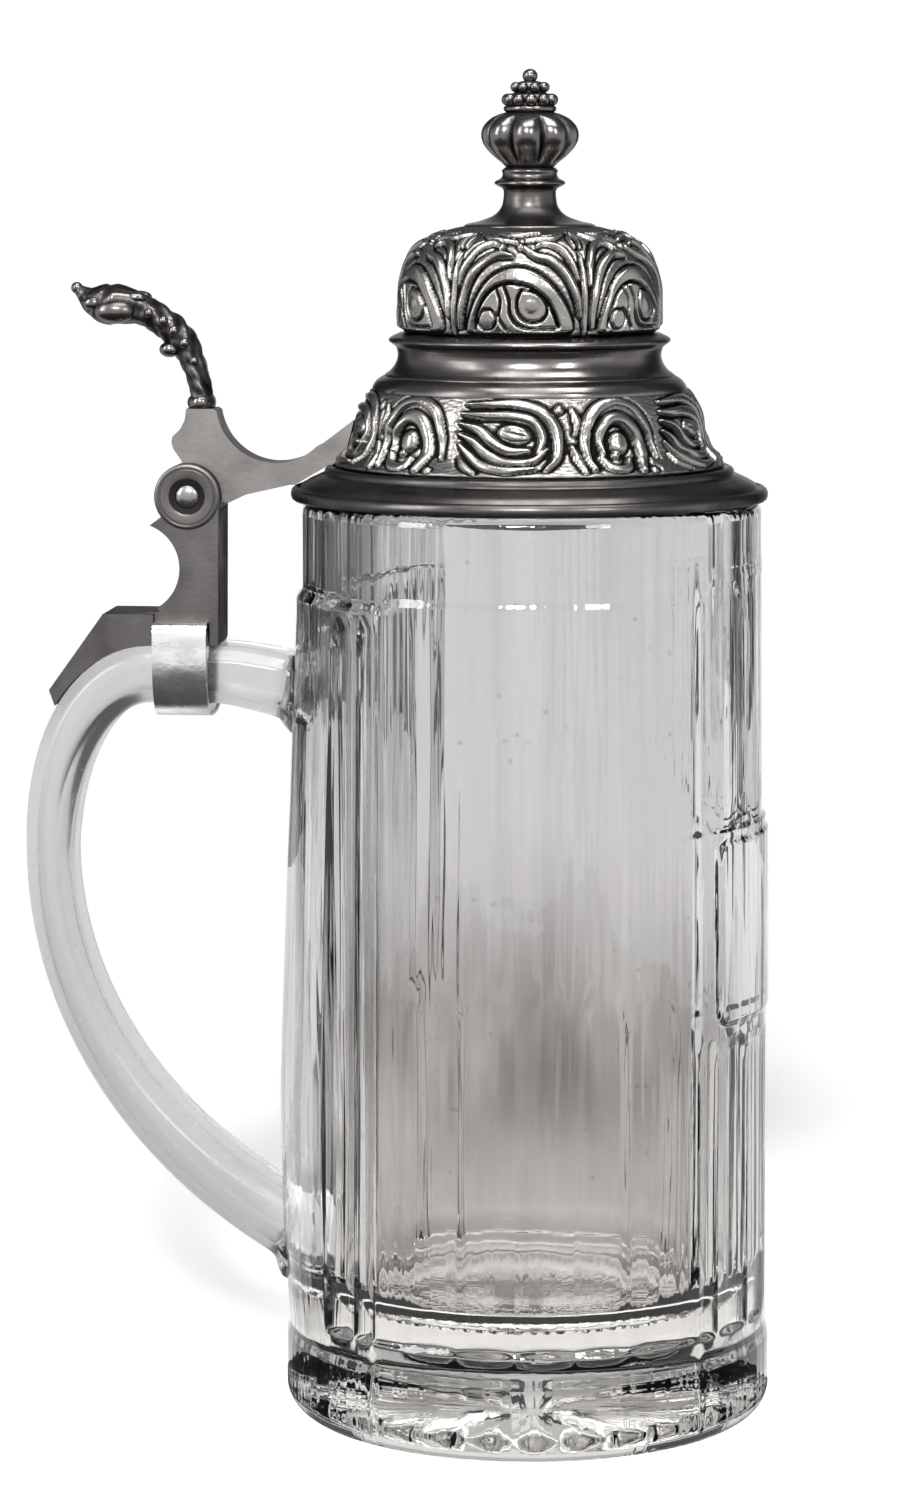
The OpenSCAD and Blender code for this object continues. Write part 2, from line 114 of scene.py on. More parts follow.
def evenly(line, count):
    """The same line with its points evenly spaced along its length; columns after the
    first two are carried along."""
    step = np.linalg.norm(np.diff(line[:, :2], axis=0), axis=1)
    length = np.concatenate([[0], np.cumsum(step)])
    at = np.linspace(0, length[-1], count)
    return np.stack([np.interp(at, length, line[:, k]) for k in range(line.shape[1])], 1)


def bezier(p, count):
    """Cubic Bezier curve from four points."""
    t = np.linspace(0, 1, count)[:, None]
    p = np.asarray(p, float)
    return (
        (1 - t) ** 3 * p[0] + 3 * t * (1 - t) ** 2 * p[1]
        + 3 * t * t * (1 - t) * p[2] + t**3 * p[3]
    )


def heading(line):
    """Unit direction along a line at each of its points."""
    d = np.gradient(line, axis=0)
    return d / np.linalg.norm(d, axis=1)[:, None]


def refined(plain, edges, reach, count):
    """Grid lines: the plain ones, with a tight run of extra lines across each edge."""
    extra = [e + reach * np.linspace(-1, 1, count) for e in edges]
    lines = np.unique(np.round(np.concatenate([plain, *extra]), 3))
    keep = np.concatenate([[True], np.diff(lines) > reach / count * 0.7])
    return lines[keep]


def grid(points, around=False, along=False, start_pole=None, end_pole=None):
    """Vertices, quads and triangles of a grid of points[row, column]. 'around' joins the
    last column to the first and 'along' the last row to the first; a pole is one more
    point that closes the first or the last row with a fan."""
    rows, cols = points.shape[:2]
    i = np.arange(rows if along else rows - 1)[:, None]
    j = np.arange(cols if around else cols - 1)[None, :]
    up, right = (i + 1) % rows, (j + 1) % cols
    quads = np.stack(
        [i * cols + j, i * cols + right, up * cols + right, up * cols + j], -1
    ).reshape(-1, 4)
    verts = points.reshape(-1, 3)
    fans = []
    k = np.arange(cols)
    if start_pole is not None:
        fans.append(np.stack([np.full(cols, len(verts)), (k + 1) % cols, k], 1))
        verts = np.vstack([verts, start_pole])
    if end_pole is not None:
        ring = (rows - 1) * cols
        fans.append(np.stack([np.full(cols, len(verts)), ring + k, ring + (k + 1) % cols], 1))
        verts = np.vstack([verts, end_pole])
    tris = np.vstack(fans) if fans else np.zeros((0, 3), int)
    return verts, quads, tris


def facing_out(shape, start, count, middle):
    """The same shape, with its faces turned round if the given run of quads, whose
    normals are (b - a) x (d - a), faces the point in the middle."""
    verts, quads, tris = shape
    a, b, d = (verts[quads[start: start + count, k]] for k in (0, 1, 3))
    if (np.cross(b - a, d - a) * (a - middle)).sum() < 0:
        quads, tris = quads[:, ::-1], tris[:, ::-1]
    return verts, quads, tris


def joined(parts):
    """Several sets of vertices, quads and triangles as one."""
    verts, quads, tris, start = [], [], [], 0
    for v, q, t in parts:
        verts.append(v)
        quads.append(q + start)
        tris.append(t + start)
        start += len(v)
    return np.vstack(verts), np.vstack(quads), np.vstack(tris)


def turned(outline, columns=192, closed=True):
    """A profile of (radius, height) turned about the Z axis. The profile runs up the
    outer side and down the inner one; an open profile starts and ends on the axis."""
    a = np.radians(np.arange(columns) * 360 / columns)
    p = np.asarray(outline, float)
    r, z = p[:, :1], p[:, 1:]
    points = np.stack([r * np.cos(a), r * np.sin(a), z + 0 * a], -1)
    if closed:
        return grid(points, around=True, along=True)
    return grid(
        points, around=True, start_pole=[[0, 0, p[0, 1]]], end_pole=[[0, 0, p[-1, 1]]]
    )


def swept(line, thick, wide, columns=24, bend=None):
    """An oval section carried along a line in the XZ plane: centre + side * thick * cos
    + Y * wide * sin, with thick and wide changing from point to point. bend(t, angle)
    gives a further distance outwards."""
    t = np.linspace(0, 1, len(line))
    d = heading(line)
    side = np.stack([d[:, 1], 0 * t, -d[:, 0]], 1)
    centre = np.stack([line[:, 0], 0 * t, line[:, 1]], 1)
    a = np.arange(columns) * 2 * np.pi / columns
    more = 0 if bend is None else bend(t[:, None], a[None, :])
    out = (thick[:, None] + more) * np.cos(a)
    across = (wide[:, None] + more) * np.sin(a)
    points = centre[:, None] + side[:, None] * out[..., None]
    points[..., 1] += across
    return grid(points, around=True, start_pole=centre[:1], end_pole=centre[-1:])


def ball(centre, radii, columns=20, rows=12):
    """An ellipsoid: centre + radii times a point of the unit sphere."""
    lat = np.linspace(-np.pi / 2, np.pi / 2, rows + 2)[1:-1, None]
    lon = np.arange(columns)[None, :] * 2 * np.pi / columns
    unit = np.stack(
        [np.cos(lat) * np.cos(lon), np.cos(lat) * np.sin(lon), np.sin(lat) + 0 * lon], -1
    )
    c, r = np.asarray(centre, float), np.asarray(radii, float)
    pole = np.array([0, 0, r[2]])
    return grid(c + unit * r, around=True, start_pole=[c - pole], end_pole=[c + pole])


def piece(name, shape, body, stands_for, material, hollow=None, crease=None):
    """Makes the mesh of a shape in metres and rides it on its body. hollow is the share
    of darkening at each vertex; edges sharper than crease degrees stay crisp."""
    verts, quads, tris = shape
    mesh = bpy.data.meshes.new(name)
    loops = np.concatenate([quads.ravel(), tris.ravel()]).astype(np.int32)
    sizes = np.concatenate([np.full(len(quads), 4), np.full(len(tris), 3)])
    mesh.vertices.add(len(verts))
    mesh.vertices.foreach_set("co", (np.asarray(verts) * MM).astype(np.float32).ravel())
    mesh.loops.add(len(loops))
    mesh.loops.foreach_set("vertex_index", loops)
    mesh.polygons.add(len(sizes))
    mesh.polygons.foreach_set("loop_start", (np.cumsum(sizes) - sizes).astype(np.int32))
    mesh.update(calc_edges=True)
    mesh.validate()
    if hollow is not None:
        shade = mesh.attributes.new("hollow", "FLOAT", "POINT")
        shade.data.foreach_set("value", np.asarray(hollow, np.float32).ravel())
    return placed(name, mesh, body, stands_for, material, crease)


def placed(name, mesh, body, stands_for, material, crease=None):
    """Puts a finished mesh into the scene with its body, frame nodes and material."""
    mesh.polygons.foreach_set("use_smooth", np.ones(len(mesh.polygons), bool))
    if crease:
        mesh.set_sharp_from_angle(angle=math.radians(crease))
    mesh.materials.clear()
    mesh.materials.append(material)
    obj = bpy.data.objects.new(name, mesh)
    bpy.context.scene.collection.objects.link(obj)
    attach(obj, body)
    if stands_for:
        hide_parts(*stands_for)
    return obj


# ---------------------------------------------------------------- materials


def node_material(name):
    """An empty node material and a helper that adds a node with its settings."""
    material = bpy.data.materials.new(name)
    material.use_nodes = True
    tree = material.node_tree
    shader = tree.nodes["Principled BSDF"]

    def add(kind, links=(), **settings):
        """A new node: links gives the source of each linked socket, a setting that starts
        with in_ the value of an unlinked one, and any other setting an option."""
        made = tree.nodes.new(kind)
        for key, value in settings.items():
            if key.startswith("in_"):
                made.inputs[key[3:].replace("_", " ")].default_value = value
            else:
                setattr(made, key, value)
        for socket, source in dict(links).items():
            tree.links.new(source, made.inputs[socket])
        return made

    return material, tree, shader, add


def ranged(add, source, low, high, first=0.0, second=1.0):
    """A socket that runs from first to second while source runs from low to high."""
    node = add("ShaderNodeMapRange", {"Value": source})
    ends = {"From Min": low, "From Max": high, "To Min": first, "To Max": second}
    for name, value in ends.items():
        node.inputs[name].default_value = value
    return node.outputs["Result"]


def times(add, first, second):
    """The product of two sockets."""
    node = add("ShaderNodeMath", {0: first, 1: second}, operation="MULTIPLY")
    return node.outputs[0]


def object_place(add):
    """The place on the object as one socket, and its X, Y and Z."""
    spot = add("ShaderNodeTexCoord").outputs["Object"]
    split = add("ShaderNodeSeparateXYZ", {"Vector": spot})
    return spot, *(split.outputs[k] for k in "XYZ")


def blend(add, share, first, second):
    """The colour first + share * (second - first); each colour is a socket or a constant."""
    mix = add("ShaderNodeMix", data_type="RGBA")
    tree = mix.id_data
    tree.links.new(share, mix.inputs["Factor"])
    pair = [socket for socket in mix.inputs if socket.type == "RGBA"]
    for socket, colour in zip(pair, (first, second)):
        if isinstance(colour, tuple):
            socket.default_value = (*colour, 1)
        else:
            tree.links.new(colour, socket)
    return [socket for socket in mix.outputs if socket.type == "RGBA"][0]


# Painted light on the foot, painted shade at the step and low on the wall; the upper wall's and the
# handle's greys are the glass's own.
FOOT_PAINTED_LIGHT = (0.97, 0.96, 0.945)
STEP_PAINTED_SHADE = (0.4, 0.392, 0.382)
LOW_WALL_PAINTED_SHADE = (0.68, 0.668, 0.655)
GLASS_HIGH = (0.785, 0.774, 0.771)
GLASS_HANDLE = (0.60, 0.595, 0.59)
GLASS_GRIP = (0.66, 0.653, 0.648)
STREAK = (0.35, 0.34, 0.33)
# Painted shade for the streaks high on the flutes beside the handle.
FLUTE_SHADE = (0.17, 0.163, 0.16)
# Painted shade for a cloudy patch low on the wall.
WALL_PATCH_SHADE = (0.24, 0.23, 0.22)
SEED = (0.16, 0.15, 0.14)
# Painted shade where the glass is seen edge on.
EDGE_ON_SHADE = (0.20, 0.192, 0.187)

# The wall's grey, with painted light at the foot and painted shade at the step and low on the wall,
# each with its share of the glass's height.
WALL_SHADES_BY_HEIGHT = (
    (0.0, FOOT_PAINTED_LIGHT), (0.07, FOOT_PAINTED_LIGHT), (0.085, STEP_PAINTED_SHADE), (0.15, STEP_PAINTED_SHADE),
    (0.165, LOW_WALL_PAINTED_SHADE), (0.42, LOW_WALL_PAINTED_SHADE), (0.58, GLASS_HIGH), (1.0, GLASS_HIGH),
)


def wall_shade_and_handle_grey(add, z, on_handle):
    """The colour without its marks: the wall's grey with painted light and shade up its height, and
    on the handle a grey that grows lighter towards the grip's top."""
    wall = add("ShaderNodeValToRGB", {"Fac": ranged(add, z, 0, RIM_Z * MM)})
    steps = wall.color_ramp.elements
    for at, _ in WALL_SHADES_BY_HEIGHT[1:-1]:
        steps.new(at)
    for step, (at, colour_and_shade) in zip(steps, WALL_SHADES_BY_HEIGHT):
        step.position = at
        step.color = (*colour_and_shade, 1)
    solid = blend(add, ranged(add, z, 85 * MM, 125 * MM), GLASS_HANDLE, GLASS_GRIP)
    return blend(add, on_handle, wall.outputs["Color"], solid)


def glass_colour_and_shade(add, spot, turn, z, streaks, on_handle):
    """The glass's colour with its marks: upright streaks, with painted shade on them high on the
    flutes beside the handle, a patch of painted shade low on the wall, dark seeds, and painted
    shade where the glass is seen edge on."""
    colour_and_shade = wall_shade_and_handle_grey(add, z, on_handle)
    colour_and_shade = blend(add, ranged(add, streaks, 0.42, 0.72, 0.0, 0.16), colour_and_shade, STREAK)

    # Painted shade: the streaks darken high on the flutes beside the handle.
    behind = add("ShaderNodeMath", {0: turn}, operation="ABSOLUTE").outputs[0]
    on_flutes = ranged(add, behind, math.radians(121), math.radians(127))
    on_flutes = times(add, on_flutes, ranged(add, z, 78 * MM, 108 * MM))
    on_flutes = times(add, on_flutes, ranged(add, on_handle, 1.0, 0.0))
    flute_shade = times(add, on_flutes, ranged(add, streaks, 0.42, 0.58, 0.0, 0.6))
    colour_and_shade = blend(add, flute_shade, colour_and_shade, FLUTE_SHADE)

    # Painted shade: a cloudy darker patch low on the wall, none on the handle.
    stretched = add("ShaderNodeVectorMath", {0: spot}, operation="MULTIPLY")
    stretched.inputs[1].default_value = (1.4, 1.4, 0.3)
    cloud = add(
        "ShaderNodeTexNoise", {"Vector": stretched.outputs["Vector"]}, in_Scale=48, in_Detail=2
    )
    band = times(add, ranged(add, z, 58 * MM, 72 * MM), ranged(add, z, 104 * MM, 82 * MM))
    shade_patch = times(add, ranged(add, cloud.outputs["Fac"], 0.46, 0.6), band)
    shade_patch = times(add, shade_patch, ranged(add, on_handle, 0, 1, 0.55, 0.0))
    colour_and_shade = blend(add, shade_patch, colour_and_shade, WALL_PATCH_SHADE)

    seeds = add("ShaderNodeTexVoronoi", {"Vector": spot}, in_Scale=140)
    colour_and_shade = blend(add, ranged(add, seeds.outputs["Distance"], 0.075, 0.05, 0.0, 0.4), colour_and_shade, SEED)

    # Painted shade where the glass is seen edge on, fading out down the foot.
    facing = add("ShaderNodeLayerWeight", in_Blend=0.5)
    edge = ranged(add, facing.outputs["Facing"], 0.62, 0.98, 0.0, 0.8)
    edge = times(add, edge, ranged(add, z, 12 * MM, 24 * MM))
    return blend(add, edge, colour_and_shade, EDGE_ON_SHADE)


def glass_bump(add, spot, streaks):
    """Upright waves from the mould, with a fine ripple over them."""
    waves = add("ShaderNodeTexNoise", {"Vector": spot}, in_Scale=95, in_Detail=1)
    mould = add("ShaderNodeBump", {"Height": streaks}, in_Strength=0.5, in_Distance=0.0008)
    bump = add(
        "ShaderNodeBump", {"Height": waves.outputs["Fac"], "Normal": mould.outputs["Normal"]},
        in_Strength=0.35, in_Distance=0.0002,
    )
    return bump.outputs["Normal"]


def glass_material():
    """Clear pressed glass with a faint warm grey body colour, deeper in the solid handle.
    Upright streaks from the mould, small seeds, scuffs and a softer polish on the handle.
    Shadow rays pass through it, so that the lamps reach the floor under the foot."""
    material, tree, shader, add = node_material("clear_glass")
    shader.inputs["Transmission Weight"].default_value = 1
    shader.inputs["IOR"].default_value = 1.5
    spot, x, y, z = object_place(add)
    on_handle = ranged(add, x, -43.5 * MM, -47.5 * MM)
    turn = add("ShaderNodeMath", {0: y, 1: x}, operation="ARCTAN2").outputs[0]
    upright = add("ShaderNodeCombineXYZ", {"X": turn, "Y": z})
    streaks = add(
        "ShaderNodeTexNoise", {"Vector": upright.outputs["Vector"]}, in_Scale=9, in_Detail=2
    ).outputs["Fac"]
    colour_and_shade = glass_colour_and_shade(add, spot, turn, z, streaks, on_handle)
    tree.links.new(colour_and_shade, shader.inputs["Base Color"])
    tree.links.new(glass_bump(add, spot, streaks), shader.inputs["Normal"])

    scuff = add("ShaderNodeTexNoise", {"Vector": spot}, in_Scale=420, in_Detail=3)
    haze = ranged(add, scuff.outputs["Fac"], 0.45, 0.8, 0.0, 0.05)
    satin = add("ShaderNodeMath", {0: on_handle, 2: haze}, operation="MULTIPLY_ADD")
    satin.inputs[1].default_value = 0.24
    tree.links.new(satin.outputs[0], shader.inputs["Roughness"])

    shade = blend(add, on_handle, (0.93, 0.928, 0.924), (0.4, 0.4, 0.4))
    clear = add("ShaderNodeBsdfTransparent", {"Color": shade})
    path = add("ShaderNodeLightPath")
    both = add("ShaderNodeMixShader", {
        0: path.outputs["Is Shadow Ray"], 1: shader.outputs["BSDF"], 2: clear.outputs["BSDF"],
    })
    body = add("ShaderNodeVolumeAbsorption")
    body.inputs["Color"].default_value = (0.81, 0.80, 0.785, 1)
    body.inputs["Density"].default_value = 5
    out = tree.nodes["Material Output"]
    tree.links.new(both.outputs["Shader"], out.inputs["Surface"])
    tree.links.new(body.outputs["Volume"], out.inputs["Volume"])
    return material


def lathe_rings(add, x, y, z):
    """Fine turning marks: noise over the distance from the axis, sqrt(x^2 + y^2), and z."""
    total = add("ShaderNodeMath", {0: times(add, x, x), 1: times(add, y, y)}, operation="ADD")
    radius = add("ShaderNodeMath", {0: total.outputs[0]}, operation="SQRT")
    ring = add("ShaderNodeCombineXYZ", {"X": radius.outputs[0], "Z": z})
    rings = add("ShaderNodeTexNoise", {"Vector": ring.outputs["Vector"]}, in_Scale=1500)
    return rings.outputs["Fac"]


def pewter_material(name, light, dark, rough, hollow=False, lathe=False, grain=0.00006, edge=0.6):
    """Pewter: blotchy tone, darkened hollows, fine casting grain or lathe rings. edge is
    how bright the metal stays where it is seen almost edge on."""
    material, tree, shader, add = node_material(name)
    shader.inputs["Metallic"].default_value = 1
    shader.inputs["Specular Tint"].default_value = (edge, edge, edge, 1)
    spot, x, y, z = object_place(add)
    blotch = add("ShaderNodeTexNoise", {"Vector": spot}, in_Scale=160, in_Detail=5).outputs["Fac"]
    if hollow:
        marks = add("ShaderNodeAttribute", attribute_name="hollow").outputs["Fac"]
        spots = ranged(add, blotch, 0.38, 0.72, 0.0, 0.22)
    else:
        marks = ranged(add, blotch, 0.38, 0.72, 0.0, 0.5)
        cloud = add("ShaderNodeTexNoise", {"Vector": spot}, in_Scale=55, in_Detail=3)
        spots = ranged(add, cloud.outputs["Fac"], 0.4, 0.68, 0.0, 0.6)
    both = add("ShaderNodeMath", {0: marks, 1: spots}, operation="ADD", use_clamp=True)
    share = both.outputs[0]
    tree.links.new(blend(add, share, light, dark), shader.inputs["Base Color"])
    tree.links.new(ranged(add, share, 0, 1, rough, rough + 0.28), shader.inputs["Roughness"])
    if lathe:
        height = lathe_rings(add, x, y, z)
    else:
        fine = add("ShaderNodeTexNoise", {"Vector": spot}, in_Scale=1300, in_Detail=4)
        height = fine.outputs["Fac"]
    bump = add("ShaderNodeBump", {"Height": height}, in_Strength=0.5, in_Distance=grain)
    tree.links.new(bump.outputs["Normal"], shader.inputs["Normal"])
    return material


CLEAR_GLASS = glass_material()
CAST = pewter_material(
    "cast_pewter", (0.33, 0.318, 0.306), (0.006, 0.0056, 0.0052), 0.24, hollow=True, grain=0.00012
)
# Painted shade: a darker copy of the cast pewter, for the finial and the thumblift.
SHADED_CAST = pewter_material(
    "shaded_cast_pewter", (0.18, 0.171, 0.165), (0.005, 0.0047, 0.0045), 0.22, hollow=True
)
# Painted shade: the flange's turned pewter, made darker.
SHADED_SMOOTH = pewter_material(
    "smooth_pewter", (0.125, 0.119, 0.115), (0.05, 0.047, 0.045), 0.22, lathe=True, edge=0.4
)
# Painted light: a lighter copy of the turned pewter, for the waist.
LIT_WAIST = pewter_material(
    "lit_waist_pewter", (0.21, 0.2, 0.194), (0.07, 0.066, 0.063), 0.17, lathe=True, edge=0.4
)
# Painted light: a lighter copy of the pewter, for the lid's arm.
LIT_ARM = pewter_material("lit_arm_pewter", (0.36, 0.345, 0.337), (0.15, 0.143, 0.139), 0.3, edge=0.3)
# Painted shade: a darker copy of the pewter, for the hinge shank and its ear rings.
SHADED_SHANK = pewter_material("shaded_shank_pewter", (0.19, 0.181, 0.176), (0.07, 0.066, 0.063), 0.28, edge=0.2)
# Painted light: a near-white copy of the pewter, for the band round the handle.
LIT_BAND = pewter_material("bright_pewter", (0.95, 0.94, 0.93), (0.6, 0.58, 0.57), 0.14)
# Painted shade: a near-black pewter for the bottom of the recess round each pin head.
PIN_SEAT_SHADE = pewter_material("grime", (0.03, 0.028, 0.026), (0.01, 0.009, 0.008), 0.5, edge=0.2)
PIN = pewter_material("pin_metal", (0.36, 0.35, 0.345), (0.12, 0.115, 0.11), 0.22)

# ---------------------------------------------------------------- glass

RIDGES_FRONT = (6, 20, 34)
RIDGES_BACK = (124, 130, 141)
RIDGES_SIDE = (46, 60, 74, 88, 102, 116)
WALL_LOW, SHOULDER_Z, PANE_HIGH = 19.5, 152.2, 157.5
TABLET_LOW, TABLET_HIGH = 77.0, 110.8
FOOT_ROUND = 5.4
BORE_LOW, FLOOR_ROUND = 33.0, 8.2


def pane(arc, z, half, low, high, corner, edge):
    """Cover of an upright pane with cut corners: 1 inside, 0 outside. The distance to its
    outline is the least of the distances to its sides and to the four corner cuts."""
    mid, tall = (low + high) / 2, (high - low) / 2
    u, v = half - np.abs(arc), tall - np.abs(z - mid)
    inside = np.minimum(np.minimum(u, v), (u + v - corner) / math.sqrt(2))
    return smooth(0, edge, inside)


def flutes(angle, z, ridges, low, high, depth, arch):
    """Depth of round flutes between neighbouring ridges: a parabola across each one,
    ended at the top by an arch and at the bottom by a soft step."""
    cut = 0 * (angle + z)
    for left, right in zip(ridges[:-1], ridges[1:]):
        across = (angle - (left + right) / 2) / ((right - left) / 2)
        inside = np.clip(1 - across**2, 0, 1)
        top = high - arch * np.clip(across**2, 0, 1)
        cut = cut + depth * inside * smooth(low, low + 2, z) * (1 - smooth(top - 1.6, top, z))
    return cut


def rim_radius(phi):
    """Outer radius of the plain zone under the rim: round, a little fuller at the front."""
    return RIM_R + 0.8 * (1 - smooth(38, 70, np.abs(phi)))


def shoulder(phi, z):
    """Share of the way from the wall to the zone under the rim: a crisp step over the
    flutes, a slow slope with only a faint step in it everywhere else."""
    crisp = smooth(118, 124, np.abs(phi))
    side = smooth(38, 46, np.abs(phi))
    slow = smooth(148, 164, z)
    faint = slow + 0.3 * side * (smooth(153.8, 155.4, z) - slow)
    return faint + crisp * (smooth(SHOULDER_Z, SHOULDER_Z + 2.4, z) - faint)


def wall_radius(phi, z):
    """Outer radius of the wall from foot to rim, for angles phi and heights z: a gentle
    taper, less the panes, flutes and side panels, plus the raised tablet and a swelling
    down the handle's side, all of it led over the shoulder into the rim's radius."""
    taper = np.interp(z, [16, 77, 150], [44.45, 44.15, 43.35])
    angle = np.abs(phi)
    arc = np.radians(angle) * taper
    panes = pane(arc, z, 15.2, TABLET_HIGH + 1.6, PANE_HIGH, 3.4, 0.5)
    panes = panes + pane(
        arc - math.radians(31.5) * taper, z, 6.3, TABLET_HIGH + 1.6, PANE_HIGH, 3.0, 0.5
    )
    tablet = pane(arc, z, 27.2, TABLET_LOW, TABLET_HIGH, 2.4, 0.6)
    low = flutes(angle, z, (-6, *RIDGES_FRONT, 41), WALL_LOW, TABLET_LOW - 1.6, 0.8, 2.5)
    back = flutes(angle, z, RIDGES_BACK, WALL_LOW, SHOULDER_Z - 1, 1.3, 3.0)
    swell = np.interp(z, [16, 34, 60, 150], [0, 1.3, 1.9, -0.5]) * window(147, 200, 14, angle)
    side = window(41.6, 123.4, 0.9, angle) * smooth(WALL_LOW, WALL_LOW + 2, z)
    optic = flutes(angle, z, RIDGES_SIDE, WALL_LOW, 88, 0.42, 10)
    wall = taper - 0.6 * panes + 0.45 * tablet - low - back + swell - 0.6 * side - optic
    return wall + (rim_radius(phi) - wall) * shoulder(phi, z)


def underside(phi, r):
    """Height of the foot's hollow: a shallow dish with a scalloped edge, and V-shaped
    rays from its middle that fade out before the edge."""
    ray = np.abs(((phi / 15) % 1) - 0.5) * 2
    edge = 28.6 + 0.9 * np.cos(np.radians(phi * 24))
    dish = 2.3 * (1 - smooth(edge - 2.2, edge, r))
    return dish + 1.1 * (1 - ray) * window(6, 24, 3, r)


def floor_height(phi, r):
    """Height of the inner floor: a flat dish with a crisp step round it, whose edge runs
    in and out as a saw with 60 teeth, a small raised tooth inside each notch of the saw,
    and a groove just outside the step."""
    tooth = np.abs(((phi / 6) % 1) * 2 - 1)
    edge = 25.4 + 1.4 * tooth
    step = 1.3 * smooth(edge - 0.3, edge + 0.3, r)
    teeth = 0.8 * (1 - tooth) * window(23.9, 25.2, 0.6, r)
    return 21.0 + 0.3 * (r / 26) ** 2 + step + teeth - 0.25 * window(27.7, 28.1, 0.4, r)


def bore_radius(phi, z):
    """Inner radius: nearly straight, with soft upright waves from the pressing."""
    wave = 0.10 * np.cos(np.radians(phi * 18)) + 0.05 * np.cos(np.radians(phi * 31 + 40))
    return BORE_R - 0.25 * smooth(150, 30, z) + wave * window(40, 140, 25, z)


def glass_wall_shape():
    """The whole skin of the glass as one grid: from the middle of the underside, out
    over the foot, up the wall, over the rim, down the bore to the middle of the floor."""
    edges = [*RIDGES_FRONT, *RIDGES_BACK, *RIDGES_SIDE, 19.8, 23.2, 35.4, 39.7]
    plain = np.arange(-180, 180, 1.25)
    phi = refined(plain, [s * e for e in edges for s in (-1, 1)], 0.7, 5)
    phi = phi[(phi >= -180) & (phi < 180 - 0.2)]
    rows = []

    def row(radius, height):
        """One more ring of the skin, at a radius and a height for each angle."""
        rows.append(np.stack([radius + 0 * phi, height + 0 * phi], -1))

    for r in (3, 6, 9, 13, 17, 21, 23.5, 25.5, 26.5, 27.5, 28.3, 29, 29.8, 31.5):
        row(r, underside(phi, r))
    row(35, 0)
    foot = FOOT_R - 0.03
    notch = 0.35 * sum(np.exp(-(((np.abs(phi) - e) / 1.1) ** 2)) for e in (41, 124))
    for a in np.radians(np.linspace(-86, 0, 15)):
        r = foot - FOOT_ROUND + FOOT_ROUND * math.cos(a)
        row(r - notch * smooth(-1.2, 0, a), FOOT_ROUND * (1 + math.sin(a)))
    for r, z in ((0, 8), (0, 11.5), (0, 14.2), (0.12, 15.2), (0.35, 16), (0.5, 16.8)):
        row(foot - r - notch, z)
    heights = refined(
        np.linspace(18, 166, 64),
        [WALL_LOW + 1, TABLET_LOW - 1.6, TABLET_LOW + 0.3, TABLET_HIGH - 0.3, TABLET_HIGH + 2, 83,
         SHOULDER_Z + 0.6, SHOULDER_Z + 1.8, 154.6, PANE_HIGH - 0.4],
        0.9, 5,
    )
    for z in heights:
        row(wall_radius(phi, z), z)
    for drop, inset in ((2.2, 0), (1.2, 0.15), (0.5, 0.6), (0.1, 1.3), (0, 2.1)):
        row(rim_radius(phi) - inset, RIM_Z - drop)
    for drop, inset in ((0, 1.6), (0.15, 0.9), (0.6, 0.35), (1.4, 0.05), (3, 0)):
        row(BORE_R + inset, RIM_Z - drop)
    for z in np.linspace(RIM_Z - 8, BORE_LOW, 26):
        row(bore_radius(phi, z), z)
    for a in np.radians(np.linspace(0, 84, 10)):
        row(bore_radius(phi, BORE_LOW) - FLOOR_ROUND * (1 - math.cos(a)),
            22.25 + FLOOR_ROUND * (1 - math.sin(a)))
    for r in (27.4, 27.1, 26.8, 26.5, 26.2, 25.9, 25.6, 25.3, 25, 24.7, 24.4, 24.1, 23.8, 23.5,
              23.1, 20, 14, 8, 3):
        row(r, floor_height(phi, r))
    rz = np.array(rows)
    a = np.radians(phi)
    points = np.stack([rz[..., 0] * np.cos(a), rz[..., 0] * np.sin(a), rz[..., 1]], -1)
    return grid(
        points, around=True,
        start_pole=[[0, 0, underside(0.0, 0.0)]], end_pole=[[0, 0, floor_height(0.0, 0.0)]],
    )


def handle_line(count=120):
    """Middle line of the handle and its half thickness: the arm out of the body, the back
    and the lower root, each a Bezier curve that meets the next in line."""
    inside = -(RIM_R - 1.4)
    arm, grip_x, grip_z = 5.8, -(FOOT_R + 44), BAND_Z - 34
    parts = [
        bezier([[inside, BAND_Z - 3.0], [BAND_X + 15.5, BAND_Z - 1.4],
                [BAND_X + 10, BAND_Z], [BAND_X + arm, BAND_Z]], 41),
        bezier([[BAND_X - arm, BAND_Z], [BAND_X - arm - 11, BAND_Z],
                [grip_x, grip_z + 20.4], [grip_x, grip_z]], 61),
        bezier([[grip_x, grip_z], [grip_x, grip_z - 23.6],
                [grip_x + 13, 50], [inside, 31.8]], 61)[1:],
    ]
    arm_t, back_t, root_t = (np.linspace(0, 1, len(part)) for part in parts)
    half = np.concatenate([5.9 - 0.6 * arm_t, 5.3 - 1.2 * back_t**2, 4.1 + 1.78 * root_t**2])
    return evenly(np.column_stack([np.vstack(parts), half]), count)


